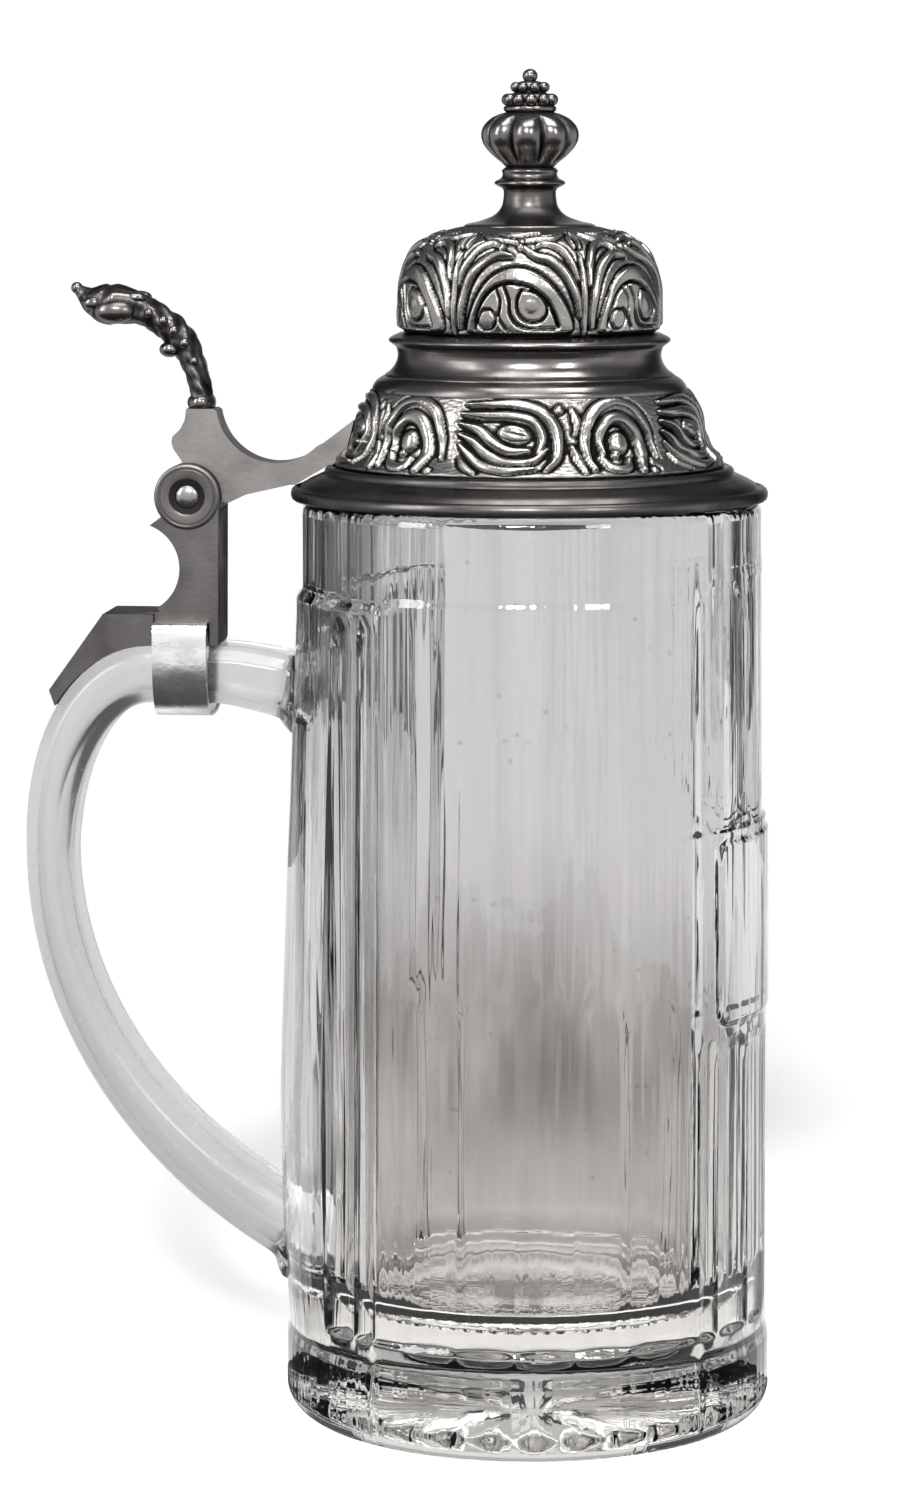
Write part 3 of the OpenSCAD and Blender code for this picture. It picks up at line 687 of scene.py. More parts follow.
def handle_shape():
    """Flat-sided section with cut corners carried along the handle's line. Near the body
    it swells by R - sqrt(R^2 - (R - d)^2), a fillet of radius R at distance d."""
    *line, thick = handle_line().T
    line = np.stack(line, 1)
    n = len(line)
    d = heading(line)
    side = np.stack([d[:, 1], np.zeros(n), -d[:, 0]], 1)
    centre = np.stack([line[:, 0], np.zeros(n), line[:, 1]], 1)
    along = np.concatenate([[0], np.cumsum(np.linalg.norm(np.diff(line, axis=0), axis=1))])
    left = along[-1] - along
    wide = np.interp(along, [0, 10, 60, along[-1]], [8.6, 8.45, 8.3, 8.9])

    def fillet(distance, radius):
        """Growth of the section at a distance from the body's surface, 2.4 along the line."""
        gap = np.clip(radius - np.clip(distance - 2.4, 0, None), 0, radius)
        return radius - np.sqrt(np.maximum(radius**2 - gap**2 * 0.96, 0))

    grow_out = fillet(along, 2.6) + fillet(left, 5.5)
    grow_in = fillet(along, 2.6) + fillet(left, 3.0)
    grow_side = fillet(along, 2.4) + fillet(left, 3.2)
    cut = 2.5
    corners_round = [
        (1, 1, 0, cut), (1, 1, cut, 0), (-1, 1, cut, 0), (-1, 1, 0, cut),
        (-1, -1, 0, cut), (-1, -1, cut, 0), (1, -1, cut, 0), (1, -1, 0, cut),
    ]
    columns = []
    for k, (h, w, dh, dw) in enumerate(corners_round):
        h2, w2, dh2, dw2 = corners_round[(k + 1) % 8]
        for f in (0.06, 0.3, 0.7, 0.94):
            t = h * (thick - dh) * (1 - f) + h2 * (thick - dh2) * f
            s = w * (wide - dw) * (1 - f) + w2 * (wide - dw2) * f
            t = t + np.sign(t) * np.where(t > 0, grow_in, grow_out) * np.abs(t) / thick
            s = s * (1 + grow_side / wide)
            columns.append(centre + side * t[:, None] + np.stack([0 * s, s, 0 * s], 1))
    points = np.stack(columns, 1)
    shape = grid(points, around=True, start_pole=centre[:1], end_pole=centre[-1:])
    middle = n // 2
    return facing_out(shape, middle * len(columns), len(columns), centre[middle])


def make_glass():
    """Body and handle joined into one skin, so that light bends only at real surfaces."""
    body = piece("glass", glass_wall_shape(), "stein",
                 ("glass_body", "glass_handle"), CLEAR_GLASS)
    tool = bpy.data.objects.new("handle_tool", bpy.data.meshes.new("handle_tool"))
    verts, quads, tris = handle_shape()
    faces = [*map(tuple, quads.tolist()), *map(tuple, tris.tolist())]
    tool.data.from_pydata((verts * MM).tolist(), [], faces)
    bpy.context.scene.collection.objects.link(tool)
    union = body.modifiers.new("union", "BOOLEAN")
    union.operation = "UNION"
    union.solver = "MANIFOLD"
    union.object = tool
    bpy.context.view_layer.update()
    solid = bpy.data.meshes.new_from_object(
        body.evaluated_get(bpy.context.evaluated_depsgraph_get())
    )
    body.modifiers.clear()
    body.data = solid
    solid.polygons.foreach_set("use_smooth", np.ones(len(solid.polygons), bool))
    solid.set_sharp_from_angle(angle=math.radians(38))
    bpy.data.objects.remove(tool)
    return body


# ---------------------------------------------------------------- relief


def stroke_height(a, b, points, widths, height):
    """Height over the plane (a, b) of a raised line: an ellipse's half section of the
    given half widths and height, carried along a smooth curve through the points."""
    line = through(points, 14 * len(points))
    half = np.interp(np.linspace(0, 1, len(line)), np.linspace(0, 1, len(widths)), widths)
    away = (a[..., None] - line[:, 0]) ** 2 + (b[..., None] - line[:, 1]) ** 2
    nearest = (away / half**2).min(-1)
    return height * np.sqrt(np.clip(1 - nearest, 0, None))


def boss_height(a, b, centre, radii, height, turn=0.0):
    """Height of a raised oval: half an ellipsoid, turned by some degrees."""
    c, s = math.cos(math.radians(turn)), math.sin(math.radians(turn))
    u = ((a - centre[0]) * c + (b - centre[1]) * s) / radii[0]
    v = ((b - centre[1]) * c - (a - centre[0]) * s) / radii[1]
    return height * np.sqrt(np.clip(1 - u * u - v * v, 0, None))


def relief(a, b, strokes, bosses, plates=(), lines=()):
    """The highest of all plates, strokes and bosses at each point, with the ground raised
    to a low plateau away from them, and engraved lines cut in last. A plate is level
    inside its outline; an engraved line takes off depth * (1 - (distance / width)^2)."""
    height = np.zeros(np.broadcast(a, b).shape)
    for points, widths, tall in strokes:
        height = np.maximum(height, stroke_height(a, b, points, widths, tall))
    for outline, tall in plates:
        height = np.maximum(height, plate_height(a, b, outline, tall))
    for centre, radii, tall, turn in bosses:
        height = np.maximum(height, boss_height(a, b, centre, radii, tall, turn))
    for points, width, depth in lines:
        cut = stroke_height(a, b, points, (width, width), 1.0)
        height = np.clip(height - depth * cut**2, 0, None)
    return height


def plate_height(a, b, outline, tall):
    """Height of a flat plate: tall inside a smooth closed outline, falling to 0 across
    its edge. A point is inside if a ray from it meets the outline an odd number of times."""
    ring = through([*outline, outline[0]], 8 * len(outline))
    x0, y0 = ring[:-1, 0], ring[:-1, 1]
    x1, y1 = ring[1:, 0], ring[1:, 1]
    p, q = a[..., None], b[..., None]
    straddles = (y0 > q) != (y1 > q)
    rise = np.where(y1 == y0, 1, y1 - y0)
    left = p < (x1 - x0) * (q - y0) / rise + x0
    inside = (straddles & left).sum(-1) % 2 == 1
    away = np.sqrt(((p - x0) ** 2 + (q - y0) ** 2).min(-1))
    return tall * smooth(0, 0.55, np.where(inside, away, 0))


def softened(height, reach):
    """The relief blurred: the mean over a square of the given number of cells, twice."""
    out = height
    for _ in range(2):
        for axis in (0, 1):
            out = sum(np.roll(out, k, axis) for k in range(-reach, reach + 1)) / (2 * reach + 1)
    return out


def relief_shell(profile, rows, repeats, cell_columns, drawing, wall, ground):
    """A turned shell whose outer side carries a repeated drawing. profile is the outer
    (radius, height) line from the foot up; each point moves outwards along the line's
    normal by the drawing's height, or by a stippled plateau between narrow grooves.
    Returns the shape and the hollows' darkening."""
    line = evenly(through(profile, 200), rows)
    length = np.linalg.norm(np.diff(line, axis=0), axis=1).sum()
    d = heading(line)
    normal = np.stack([d[:, 1], -d[:, 0]], 1)
    columns = repeats * cell_columns
    turn = (np.arange(cell_columns) + 0.5) / cell_columns - 0.5
    mean_r = line[: rows // 2, 0].mean()
    a = turn[None, :] * 2 * np.pi / repeats * mean_r
    b = np.linspace(0, length, rows)[:, None]
    height = np.tile(drawing(a + 0 * b, b + 0 * a), (1, repeats))
    i, j = np.meshgrid(np.arange(rows), np.arange(columns), indexing="ij")
    stipple = np.sin(i * 1.9 + 2.3 * np.sin(j * 0.83)) * np.sin(j * 1.37 + 1.7 * np.sin(i * 0.71))
    near = softened((height > 0.12).astype(float), 2)
    open_ground = 1 - smooth(0.02, 0.3, near)
    plateau = open_ground * (ground + 0.09 * stipple)
    swell = 1 + 0.12 * np.sin(j * 0.11 + 1.3 * np.sin(i * 0.13))
    swell = swell + 0.1 * np.sin(i * 0.23 + j * 0.031)
    fade = smooth(0, 3, i) * smooth(0, 3, rows - 1 - i)
    lift = np.maximum(height * swell, plateau) * fade
    lower = softened(lift, 3) - lift
    hollow = 0.95 * smooth(0.0, 0.24, lower) + 0.22 * open_ground + 0.35 * (1 - fade)
    hollow = np.clip(hollow + 0.35 * (1 - smooth(0.08, 0.35, lift)), 0, 1)
    angle = np.radians(np.arange(columns) * 360 / columns)
    r = line[:, :1] + normal[:, :1] * lift
    z = line[:, 1:] + normal[:, 1:] * lift
    outer = np.stack([r * np.cos(angle), r * np.sin(angle), z], -1)
    back = evenly(line - normal * wall, 8)[::-1]
    back[:, 1] = np.clip(back[:, 1], line[0, 1], line[-1, 1])
    inner = np.stack(
        [back[:, :1] * np.cos(angle), back[:, :1] * np.sin(angle), back[:, 1:] + 0 * angle], -1
    )
    points = np.concatenate([outer, inner])
    shade = np.concatenate([hollow, np.full((len(back), columns), 0.35)])
    return grid(points, around=True, along=True), shade.ravel()


def skirt_drawing(a, b):
    """Two fields side by side: a scroll with a round boss, and a swirl of long leaves
    round an oval boss. a runs round the lid and b up the skirt, in millimetres."""
    s, w, m = -10.8, 9.6, 7.9
    strokes = [
        # the scroll and its tails
        ([(s - 5.8, m - 6.0), (s - 6.8, m - 1.8), (s - 6.2, m + 2.6), (s - 3.6, m + 5.6),
          (s + 0.6, m + 6.6), (s + 4.8, m + 4.8), (s + 7.0, m + 0.8), (s + 7.8, m - 3.8)],
         (0.5, 0.9, 1.25, 1.35, 1.35, 1.25, 0.95, 0.4), 1.0),
        ([(s - 3.6, m - 2.6), (s - 3.9, m + 0.8), (s - 1.8, m + 3.6), (s + 1.4, m + 3.5),
          (s + 3.9, m + 0.8), (s + 4.5, m - 2.8), (s + 3.4, m - 6.4)],
         (0.5, 0.9, 1.15, 1.3, 1.35, 1.3, 0.8), 1.1),
        ([(s - 3.9, m - 3.4), (s - 2.6, m - 5.6), (s + 0.2, m - 5.9), (s + 1.3, m - 4.0)],
         (0.8, 1.0, 0.9, 0.6), 0.85),
        ([(s - 9.0, m + 5.6), (s - 8.2, m + 3.6), (s - 8.6, m + 1.0)], (0.4, 0.9, 0.4), 0.75),
        ([(s - 9.4, m - 1.2), (s - 8.4, m - 3.6), (s - 7.6, m - 6.6)], (0.5, 1.0, 0.5), 0.8),
        # the long leaves, from the outermost in
        ([(w - 8.8, m + 6.4), (w - 4.0, m + 6.6), (w + 1.6, m + 6.7), (w + 6.2, m + 5.2),
          (w + 8.8, m + 1.6), (w + 8.8, m - 2.8), (w + 6.6, m - 6.2)],
         (0.3, 0.75, 1.0, 1.15, 1.2, 1.0, 0.4), 0.95),
        ([(w - 9.4, m + 4.6), (w - 4.8, m + 4.4), (w + 0.2, m + 4.4), (w + 4.4, m + 3.4),
          (w + 6.2, m + 0.6), (w + 5.4, m - 2.2)], (0.3, 0.85, 1.0, 1.05, 0.95, 0.5), 1.05),
        ([(w - 9.6, m + 3.0), (w - 6.0, m + 2.0), (w - 3.2, m - 0.2), (w - 0.2, m - 1.8),
          (w + 3.6, m - 1.8)], (0.3, 0.85, 1.05, 0.95, 0.5), 1.1),
        ([(w - 9.6, m + 1.2), (w - 6.8, m - 0.2), (w - 4.2, m - 2.4), (w - 0.6, m - 4.0),
          (w + 3.8, m - 4.0), (w + 7.0, m - 1.6)], (0.3, 0.8, 1.0, 1.0, 0.85, 0.4), 1.05),
        ([(w - 9.4, m - 0.8), (w - 7.4, m - 2.6), (w - 4.6, m - 4.9), (w - 0.4, m - 6.2),
          (w + 4.6, m - 6.0)], (0.3, 0.75, 0.95, 0.9, 0.4), 0.95),
        ([(w - 9.2, m - 3.2), (w - 8.0, m - 5.0), (w - 5.8, m - 6.8)], (0.3, 0.8, 0.5), 0.85),
    ]
    bosses = [
        ((s - 0.1, m - 0.7), (2.0, 2.1), 1.2, 0),
        ((s - 1.1, m - 2.9), (0.8, 0.8), 0.75, 0),
        ((w + 1.0, m + 1.2), (3.2, 1.75), 1.15, -10),
        ((s + 5.9, m - 6.4), (0.8, 0.8), 0.7, 0),
        ((w + 9.6, m + 5.6), (0.9, 1.0), 0.7, 0),
    ]
    veins = [
        ([(s - 5.6, m + 1.6), (s - 3.2, m + 4.8), (s + 0.6, m + 5.9), (s + 4.2, m + 4.2),
          (s + 6.3, m + 0.6)], 0.3, 0.35),
        ([(w - 0.8, m + 1.6), (w + 1.0, m + 1.2), (w + 2.8, m + 0.8)], 0.3, 0.3),
    ]
    return relief(a, b, strokes, bosses, (), veins)


def dome_drawing(a, b):
    """One arch of the dome: a level plate whose engraved lines part a broad band from an
    oval, a small round and slim ribs; leaves over it and tall flames between the arches."""
    arch = [(-9.6, 0.9), (-8.9, 3.6), (-7.4, 7.4), (-5.0, 10.6), (-2.0, 12.2), (1.6, 12.2),
            (5.0, 10.4), (7.6, 7.4), (9.4, 4.0), (9.9, 1.4), (8.6, 0.7), (3.6, 0.6), (-2.6, 0.5),
            (-7.6, 0.6)]
    lines = [
        ([(-7.6, 1.4), (-7.2, 4.2), (-5.6, 7.4), (-2.9, 9.3), (0.2, 9.3), (2.8, 8.4),
          (4.9, 6.6), (6.2, 4.4), (7.0, 2.0)], 0.42, 0.95),
        ([(-2.4, 9.0), (-1.5, 6.6), (-1.2, 4.0), (0.2, 2.2), (3.0, 1.5), (6.4, 1.5)], 0.36, 0.9),
        ([(-3.8, 8.6), (-3.0, 6.2), (-3.2, 3.6), (-2.0, 1.4)], 0.32, 0.8),
        ([(0.6, 8.3), (-0.1, 6.2), (0.3, 4.0), (1.8, 2.8), (3.8, 2.9), (5.0, 4.2), (4.9, 6.0),
          (3.6, 7.6), (1.8, 8.2), (0.6, 8.3)], 0.34, 0.85),
        ([(-7.1, 2.6), (-6.3, 4.6), (-4.6, 4.8), (-3.7, 3.3), (-4.4, 1.7), (-6.0, 1.3),
          (-7.1, 2.6)], 0.3, 0.75),
        ([(-12.6, 2), (-12.6, 8), (-12.6, 13.5)], 0.22, 0.5),
        ([(12.6, 2), (12.6, 8), (12.6, 13.5)], 0.22, 0.5),
    ]
    edge = 12.6
    strokes = [
        # flames between the arches, and the slim leaves that lean on the arches
        ([(-edge, 0.4), (-edge, 5), (-edge, 10), (-edge, 14), (-edge, 17.4)],
         (1.0, 1.3, 1.25, 0.9, 0.3), 0.95),
        ([(edge, 0.4), (edge, 5), (edge, 10), (edge, 14), (edge, 17.4)],
         (1.0, 1.3, 1.25, 0.9, 0.3), 0.95),
        ([(-10.6, 1.6), (-10.3, 5.6), (-9.2, 9.8), (-7.2, 13.0), (-4.2, 14.8), (-1.2, 14.4)],
         (0.4, 0.75, 0.85, 0.9, 0.8, 0.35), 1.0),
        ([(11.0, 3.6), (10.4, 7.4), (8.8, 11.0), (6.2, 13.6), (3.2, 14.6), (1.0, 16.2)],
         (0.4, 0.75, 0.85, 0.9, 0.75, 0.35), 1.0),
        ([(-10.9, 9.0), (-10.2, 13.0), (-8.4, 16.2), (-5.6, 17.6), (-3.4, 16.6), (-3.8, 15.8)],
         (0.3, 0.65, 0.8, 0.75, 0.55, 0.3), 0.9),
        ([(10.9, 10.0), (9.9, 13.6), (8.0, 16.4), (5.4, 17.6), (3.6, 16.8)],
         (0.3, 0.65, 0.8, 0.7, 0.35), 0.9),
        ([(-9.4, 20.6), (-6.8, 18.9), (-3.4, 18.7), (-0.6, 17.6)], (0.3, 0.65, 0.7, 0.4), 0.8),
        ([(10.4, 20.8), (7.4, 19.2), (3.8, 19.0), (1.4, 18.2)], (0.3, 0.65, 0.7, 0.4), 0.8),
        ([(-11.4, 16.4), (-11.0, 19.0), (-12.0, 21.4)], (0.35, 0.6, 0.3), 0.75),
        ([(11.4, 16.4), (11.2, 19.0), (12.2, 21.4)], (0.35, 0.6, 0.3), 0.75),
        ([(-6.0, 21.4), (-2.8, 20.6), (0.6, 20.8), (4.6, 21.4)], (0.3, 0.6, 0.6, 0.3), 0.7),
    ]
    bosses = [
        ((0.2, 16.6), (0.75, 0.75), 0.75, 0),
        ((-1.6, 19.2), (0.6, 0.6), 0.65, 0),
        ((2.3, 5.5), (1.9, 2.2), 1.2, 12),
    ]
    return relief(a, b, strokes, bosses, [(arch, 0.95)], lines)


def make_skirt():
    """The lower relief: a cone with a hollow flank, and the skirt's drawing five times."""
    profile = [
        (35.6, SKIRT_Z + 0.1), (34.2, SKIRT_Z + 1.4), (32.5, SKIRT_Z + 3.2), (31.4, SKIRT_Z + 5.8),
        (30.9, SKIRT_Z + 8.4), (30.2, SKIRT_Z + 10.8), (29.2, SKIRT_Z + 12.8), (28.5, WAIST_Z),
    ]
    shape, shade = relief_shell(profile, 88, 5, 150, skirt_drawing, 1.2, 0.42)
    return piece("lid_skirt_relief", shape, "lid", ("lid_skirt",), CAST, shade)


def make_dome():
    """The upper relief: a round-shouldered dome with the arch's drawing six times."""
    profile = [
        (22.9, DOME_Z), (23.2, DOME_Z + 3), (23.2, DOME_Z + 6), (22.9, DOME_Z + 9.2),
        (22.1, DOME_Z + 12.2), (20.4, DOME_Z + 15), (17.6, DOME_Z + 17.0), (13.8, DOME_Z + 18.2),
        (11.2, FINIAL_Z - 0.1),
    ]
    shape, shade = relief_shell(profile, 104, 6, 130, dome_drawing, 1.2, 0.4)
    return piece("lid_dome_relief", shape, "lid", ("lid_dome",), CAST, shade)


# ---------------------------------------------------------------- turned lid parts


def make_flange():
    """The flange: a rounded edge, a groove, a sloping step with a bead on it, and the
    collar that drops into the glass, turned as one closed outline."""
    z = LID_Z
    outline = [
        (35.3, z), (42.6, z), (43.1, z + 0.08), (43.5, z + 0.4), (43.66, z + 0.95),
        (43.66, z + 1.4), (43.5, z + 1.95), (43.1, z + 2.35), (42.7, z + 2.45), (42.4, z + 2.3),
        (42.1, z + 2.25), (41.8, z + 2.5), (41.5, z + 3.0), (40.4, z + 3.65), (39.0, z + 4.3),
        (38.0, z + 4.75), (37.7, z + 4.75), (37.45, z + 5.0), (37.45, z + 5.5), (37.2, z + 5.95),
        (36.7, z + 6.2), (36.2, z + 6.15), (35.6, z + 6.0), (33.4, z + 6.0), (32.9, z + 5.6),
        (32.8, z + 5.0), (32.8, z - 2.4), (33.0, z - 2.8), (33.4, z - 3), (34.6, z - 3),
        (35.0, z - 2.8), (35.2, z - 2.3),
    ]
    return piece("lid_flange_turned", turned(outline, 256), "lid",
                 ("lid_flange",), SHADED_SMOOTH, crease=35)


def make_waist():
    """The smooth throat under the dome: a rounded shoulder, a groove, the hollow throat
    and a thin ring with an undercut."""
    z, top = WAIST_Z, DOME_Z
    outer = np.vstack([
        through([(28.75, z - 0.1), (28.6, z + 0.6), (27.9, z + 1.6), (26.9, z + 2.3)], 16),
        through([(26.5, z + 2.45), (26.3, z + 2.75), (25.3, z + 3.5), (24.4, z + 4.8),
                 (24.05, z + 6.2), (24.3, z + 7.6)], 26),
        through([(24.7, z + 8.0), (25.6, z + 8.65), (25.7, z + 9.05), (25.3, z + 9.5),
                 (23.8, z + 10.2)], 14),
    ])
    inner = [(21.4, top - 0.1), (21.4, top - 1.6), (22.3, top - 2.4), (22.4, z + 5),
             (23.6, z + 3), (26.6, z - 0.05)]
    outline = np.vstack([outer, inner])
    return piece("lid_waist_turned", turned(outline, 224), "lid",
                 ("lid_waist",), LIT_WAIST, crease=40)


# ---------------------------------------------------------------- finial


def stem_hollow(outline, columns):
    """Darkening along a turned outline: strongest where the radius is less than the mean
    over the 13 points round it."""
    r = outline[:, 0]
    near = np.array([r[max(0, k - 6): k + 7].mean() for k in range(len(r))])
    dark = np.clip(0.15 + (near - r) / 1.6, 0, 0.85)
    return np.concatenate([np.repeat(dark, columns), [0.3, 0.3]])


def make_finial_foot():
    """The finial's trumpet foot, stem and collar, turned as one solid."""
    z = FINIAL_Z
    curve = [(11.6, z - 0.1), (12.0, z + 0.25), (11.4, z + 0.7), (9.2, z + 1.2), (6.6, z + 2.2),
             (5.2, z + 3.7), (4.8, z + 5.4), (4.75, z + 6.6)]
    collar = [(5.0, z + 7.1), (6.0, z + 7.6), (6.45, z + 8.0), (6.2, z + 8.45), (5.3, z + 8.9),
              (4.95, z + 9.6), (5.1, z + 10.3), (4.6, KNOB_Z)]
    outline = np.vstack([through(curve, 30), through(collar, 26)])
    return piece("finial_stem", turned(outline, 96, closed=False), "lid",
                 ("finial_foot",), SHADED_CAST, stem_hollow(outline, 96), crease=40)


def make_knob():
    """A turned bulb with eight lobes: the radius is the bulb's, times one minus a share
    of (1 - |cos 4a|^0.7), so that each lobe is round and each groove is sharp."""
    z, tall = KNOB_Z, CROWN_Z - KNOB_Z
    rows, columns = 46, 192
    line = evenly(through([
        (4.3, z + 0.02), (5.2, z + 0.9), (6.8, z + 2.2), (8.3, z + 3.9), (8.9, z + 5.7),
        (8.5, z + 7.4), (7.2, z + 8.8), (5.6, z + 9.6), (4.2, z + tall - 0.02),
    ], 160), rows)
    a = np.arange(columns) * 2 * np.pi / columns
    rise = np.clip((line[:, 1:] - z) / tall, 0, 1)
    lobe = 1 - np.abs(np.cos(4 * a)) ** 0.7
    depth = 0.2 * window(0.16, 0.84, 0.14, rise)
    r = line[:, :1] * (1 - depth * lobe)
    points = np.stack([r * np.cos(a), r * np.sin(a), line[:, 1:] + 0 * a], -1)
    shape = grid(points, around=True, start_pole=[[0, 0, z]], end_pole=[[0, 0, z + tall]])
    ends = 0.7 * (1 - window(0.1, 0.9, 0.08, rise))
    dark = np.clip(smooth(0.35, 0.95, lobe) * depth / 0.2 + ends, 0, 1)
    shade = np.concatenate([dark.ravel(), [0.5, 0.5]])
    return piece("finial_bulb", shape, "lid", ("finial_knob",), SHADED_CAST, shade)


def ring_of_beads(count, radius, bead, z):
    """Round beads set evenly round the axis, at angles 2 pi (k + 1/2) / count."""
    turns = [2 * math.pi * (k + 0.5) / count for k in range(count)]
    return [
        ball((radius * math.cos(t), radius * math.sin(t), z), (bead,) * 3, 16, 10) for t in turns
    ]


def make_crown():
    """The crown over the knob: a turned core, two rings of beads and a slim tip. The
    darkening grows with the depth under a limit that follows the beads' outside."""
    z = CROWN_Z
    core = np.vstack([
        through([(4.3, z - 0.1), (4.75, z + 0.3), (4.75, z + 0.9), (4.2, z + 1.2)], 12),
        through([(3.9, z + 1.5), (4.1, z + 2.4), (3.6, z + 3.2), (2.7, z + 3.6), (2.6, z + 4.6),
                 (2.2, z + 5.3), (1.2, z + 5.6)], 22),
    ])
    tip_low, tip_high = z + 5.2, TOP_Z - 0.05
    parts = [
        turned(core, 72, closed=False),
        *ring_of_beads(11, 4.1, 1.12, z + 2.2),
        *ring_of_beads(8, 2.75, 0.95, z + 4.45),
        ball((0, 0, (tip_low + tip_high) / 2), (1.4, 1.4, (tip_high - tip_low) / 2), 24, 14),
    ]
    shape = joined(parts)
    verts = shape[0]
    r = np.hypot(verts[:, 0], verts[:, 1])
    limit = np.interp(verts[:, 2], [z, z + 1.2, z + 2.2, z + 3.4, z + 4.4, z + 5.4, TOP_Z],
                      [4.7, 4.6, 5.2, 3.6, 3.7, 1.6, 0.4])
    dark = np.clip((limit - r) / 1.3, 0, 1) * (verts[:, 2] < z + 5.3)
    return piece("finial_beads", shape, "lid", ("finial_crown",), SHADED_CAST, dark)


# ---------------------------------------------------------------- hinge, arm and thumblift


def eased_copy(name, node, body, material, ease, segments=3):
    """A frame node's own shape with every hard edge rounded over."""
    work = bmesh.new()
    work.from_mesh(frame["nodes"][node].data)
    bmesh.ops.remove_doubles(work, verts=work.verts, dist=2e-6)
    bmesh.ops.dissolve_limit(
        work, angle_limit=math.radians(1.5), verts=work.verts, edges=work.edges
    )
    mesh = bpy.data.meshes.new(name)
    work.to_mesh(mesh)
    work.free()
    if "custom_normal" in mesh.attributes:
        mesh.attributes.remove(mesh.attributes["custom_normal"])
    obj = placed(name, mesh, body, (node,), material, crease=30)
    bevel = obj.modifiers.new("ease", "BEVEL")
    bevel.width = ease * MM
    bevel.segments = segments
    bevel.limit_method = "ANGLE"
    bevel.angle_limit = math.radians(32)
    bevel.harden_normals = True
    return obj


def thumb_line(count=100):
    """Middle line of the thumblift, from the arm up and back to the tip."""
    x, z = HINGE[0], HINGE[2]
    return evenly(through([
        (x + 2.0, z + 15.6), (x + 1.9, z + 18.6), (x + 1.4, z + 21.8), (x + 0.5, z + 24.4),
        (x - 0.7, z + 27.0), (x - 2.9, z + 29.9), (x - 5.9, z + 32.3), (x - 9.2, z + 33.9),
        (x - 12.9, z + 34.7), (x - 16.2, z + 35.2), (x - 19.0, z + 36.3), (x - 21.2, z + 37.9),
    ], 260), count)


def make_thumblift():
    """A cast leaf on a stem: an oval section along the line, folded by leaf veins, with
    a collar at the foot, beads down both flanks, a curl under it and a ball at the tip."""
    line = thumb_line()
    t = np.linspace(0, 1, len(line))
    # share of the line, half thickness, half width
    at, thick, wide = np.array([
        (0, 2.2, 3.4), (0.08, 2.15, 3.3), (0.17, 2.1, 3.1), (0.26, 2.3, 3.1), (0.35, 2.7, 3.5),
        (0.44, 2.8, 3.7), (0.53, 2.7, 3.8), (0.62, 2.8, 4.4), (0.7, 3.5, 5.4), (0.78, 4.0, 5.9),
        (0.86, 3.5, 4.6), (0.93, 2.0, 2.4), (0.97, 1.2, 1.3), (1, 0.8, 0.8),
    ]).T
    thick, wide = np.interp(t, at, thick), np.interp(t, at, wide)

    def veins(t, angle):
        """Folds, scales and ribs: cosines of the angle that drift along the line."""
        leaf = window(0.1, 0.92, 0.05, t)
        fold = 0.16 * np.cos(5 * angle + 9 * np.sin(7 * t)) * leaf
        scale = 0.2 * np.abs(np.sin(40 * t + 2.0 * np.cos(angle))) * window(0.12, 0.6, 0.05, t)
        ribs = 0.28 * np.cos(4 * angle + 5 * t) * window(0.66, 0.9, 0.06, t)
        return fold + scale + ribs - 0.2 * leaf

    def spot(share, side, across):
        """A point on the section at this share of the line: side is along the in-plane
        normal and across along Y, as shares of the half sizes."""
        k = int(round(share * (len(line) - 1)))
        d = line[min(k + 1, len(line) - 1)] - line[max(k - 1, 0)]
        d = d / np.linalg.norm(d)
        x = line[k, 0] + d[1] * thick[k] * side
        z = line[k, 1] - d[0] * thick[k] * side
        return (x, wide[k] * across, z)

    parts = [swept(line, thick, wide, 72, veins)]
    swell = np.array([0.1, 0.3, 0.42, 0.45, 0.42, 0.3, 0.1])
    parts.append(swept(line[1:8], thick[1:8] + swell, wide[1:8] + swell, 48))
    for share, size, side in (
        (0.25, 0.85, 0.25), (0.35, 1.05, 0.2), (0.43, 1.0, 0.15), (0.51, 1.0, 0.2),
        (0.59, 0.95, 0.15),
    ):
        for flank in (-1, 1):
            parts.append(ball(spot(share, side, 0.86 * flank), (size,) * 3))
    for flank in (-1, 1):
        for share, side, across, radii in (
            (0.37, -0.95, 0.5, (1.9, 1.9, 1.45)), (0.76, -0.25, 0.66, (3.9, 2.3, 2.3)),
            (0.87, -0.1, 0.74, (2.2, 1.2, 1.3)), (0.68, 0.62, 0.6, (2.3, 1.4, 1.1)),
        ):
            parts.append(ball(spot(share, side, across * flank), radii))
    tip = spot(1.0, 0, 0)
    parts.append(ball((tip[0] + 0.1, 0, tip[2]), (1.1, 1.1, 1.1)))
    shape = joined(parts)
    verts = shape[0]
    share = np.linalg.norm(verts[:, None, ::2] - line[None, ::3], axis=-1).argmin(1) * 3
    share = np.minimum(share, len(line) - 1)
    d = heading(line)
    rel = verts[:, ::2] - line[share]
    out = rel[:, 0] * d[share, 1] - rel[:, 1] * d[share, 0]
    ratio = np.sqrt((out / thick[share]) ** 2 + (verts[:, 1] / wide[share]) ** 2)
    dark = 1 - smooth(0.9, 1.08, ratio)
    return piece("thumblift_leaf", shape, "lid", ("thumblift",), SHADED_CAST,
                 np.clip(0.05 + 0.75 * dark, 0, 1))


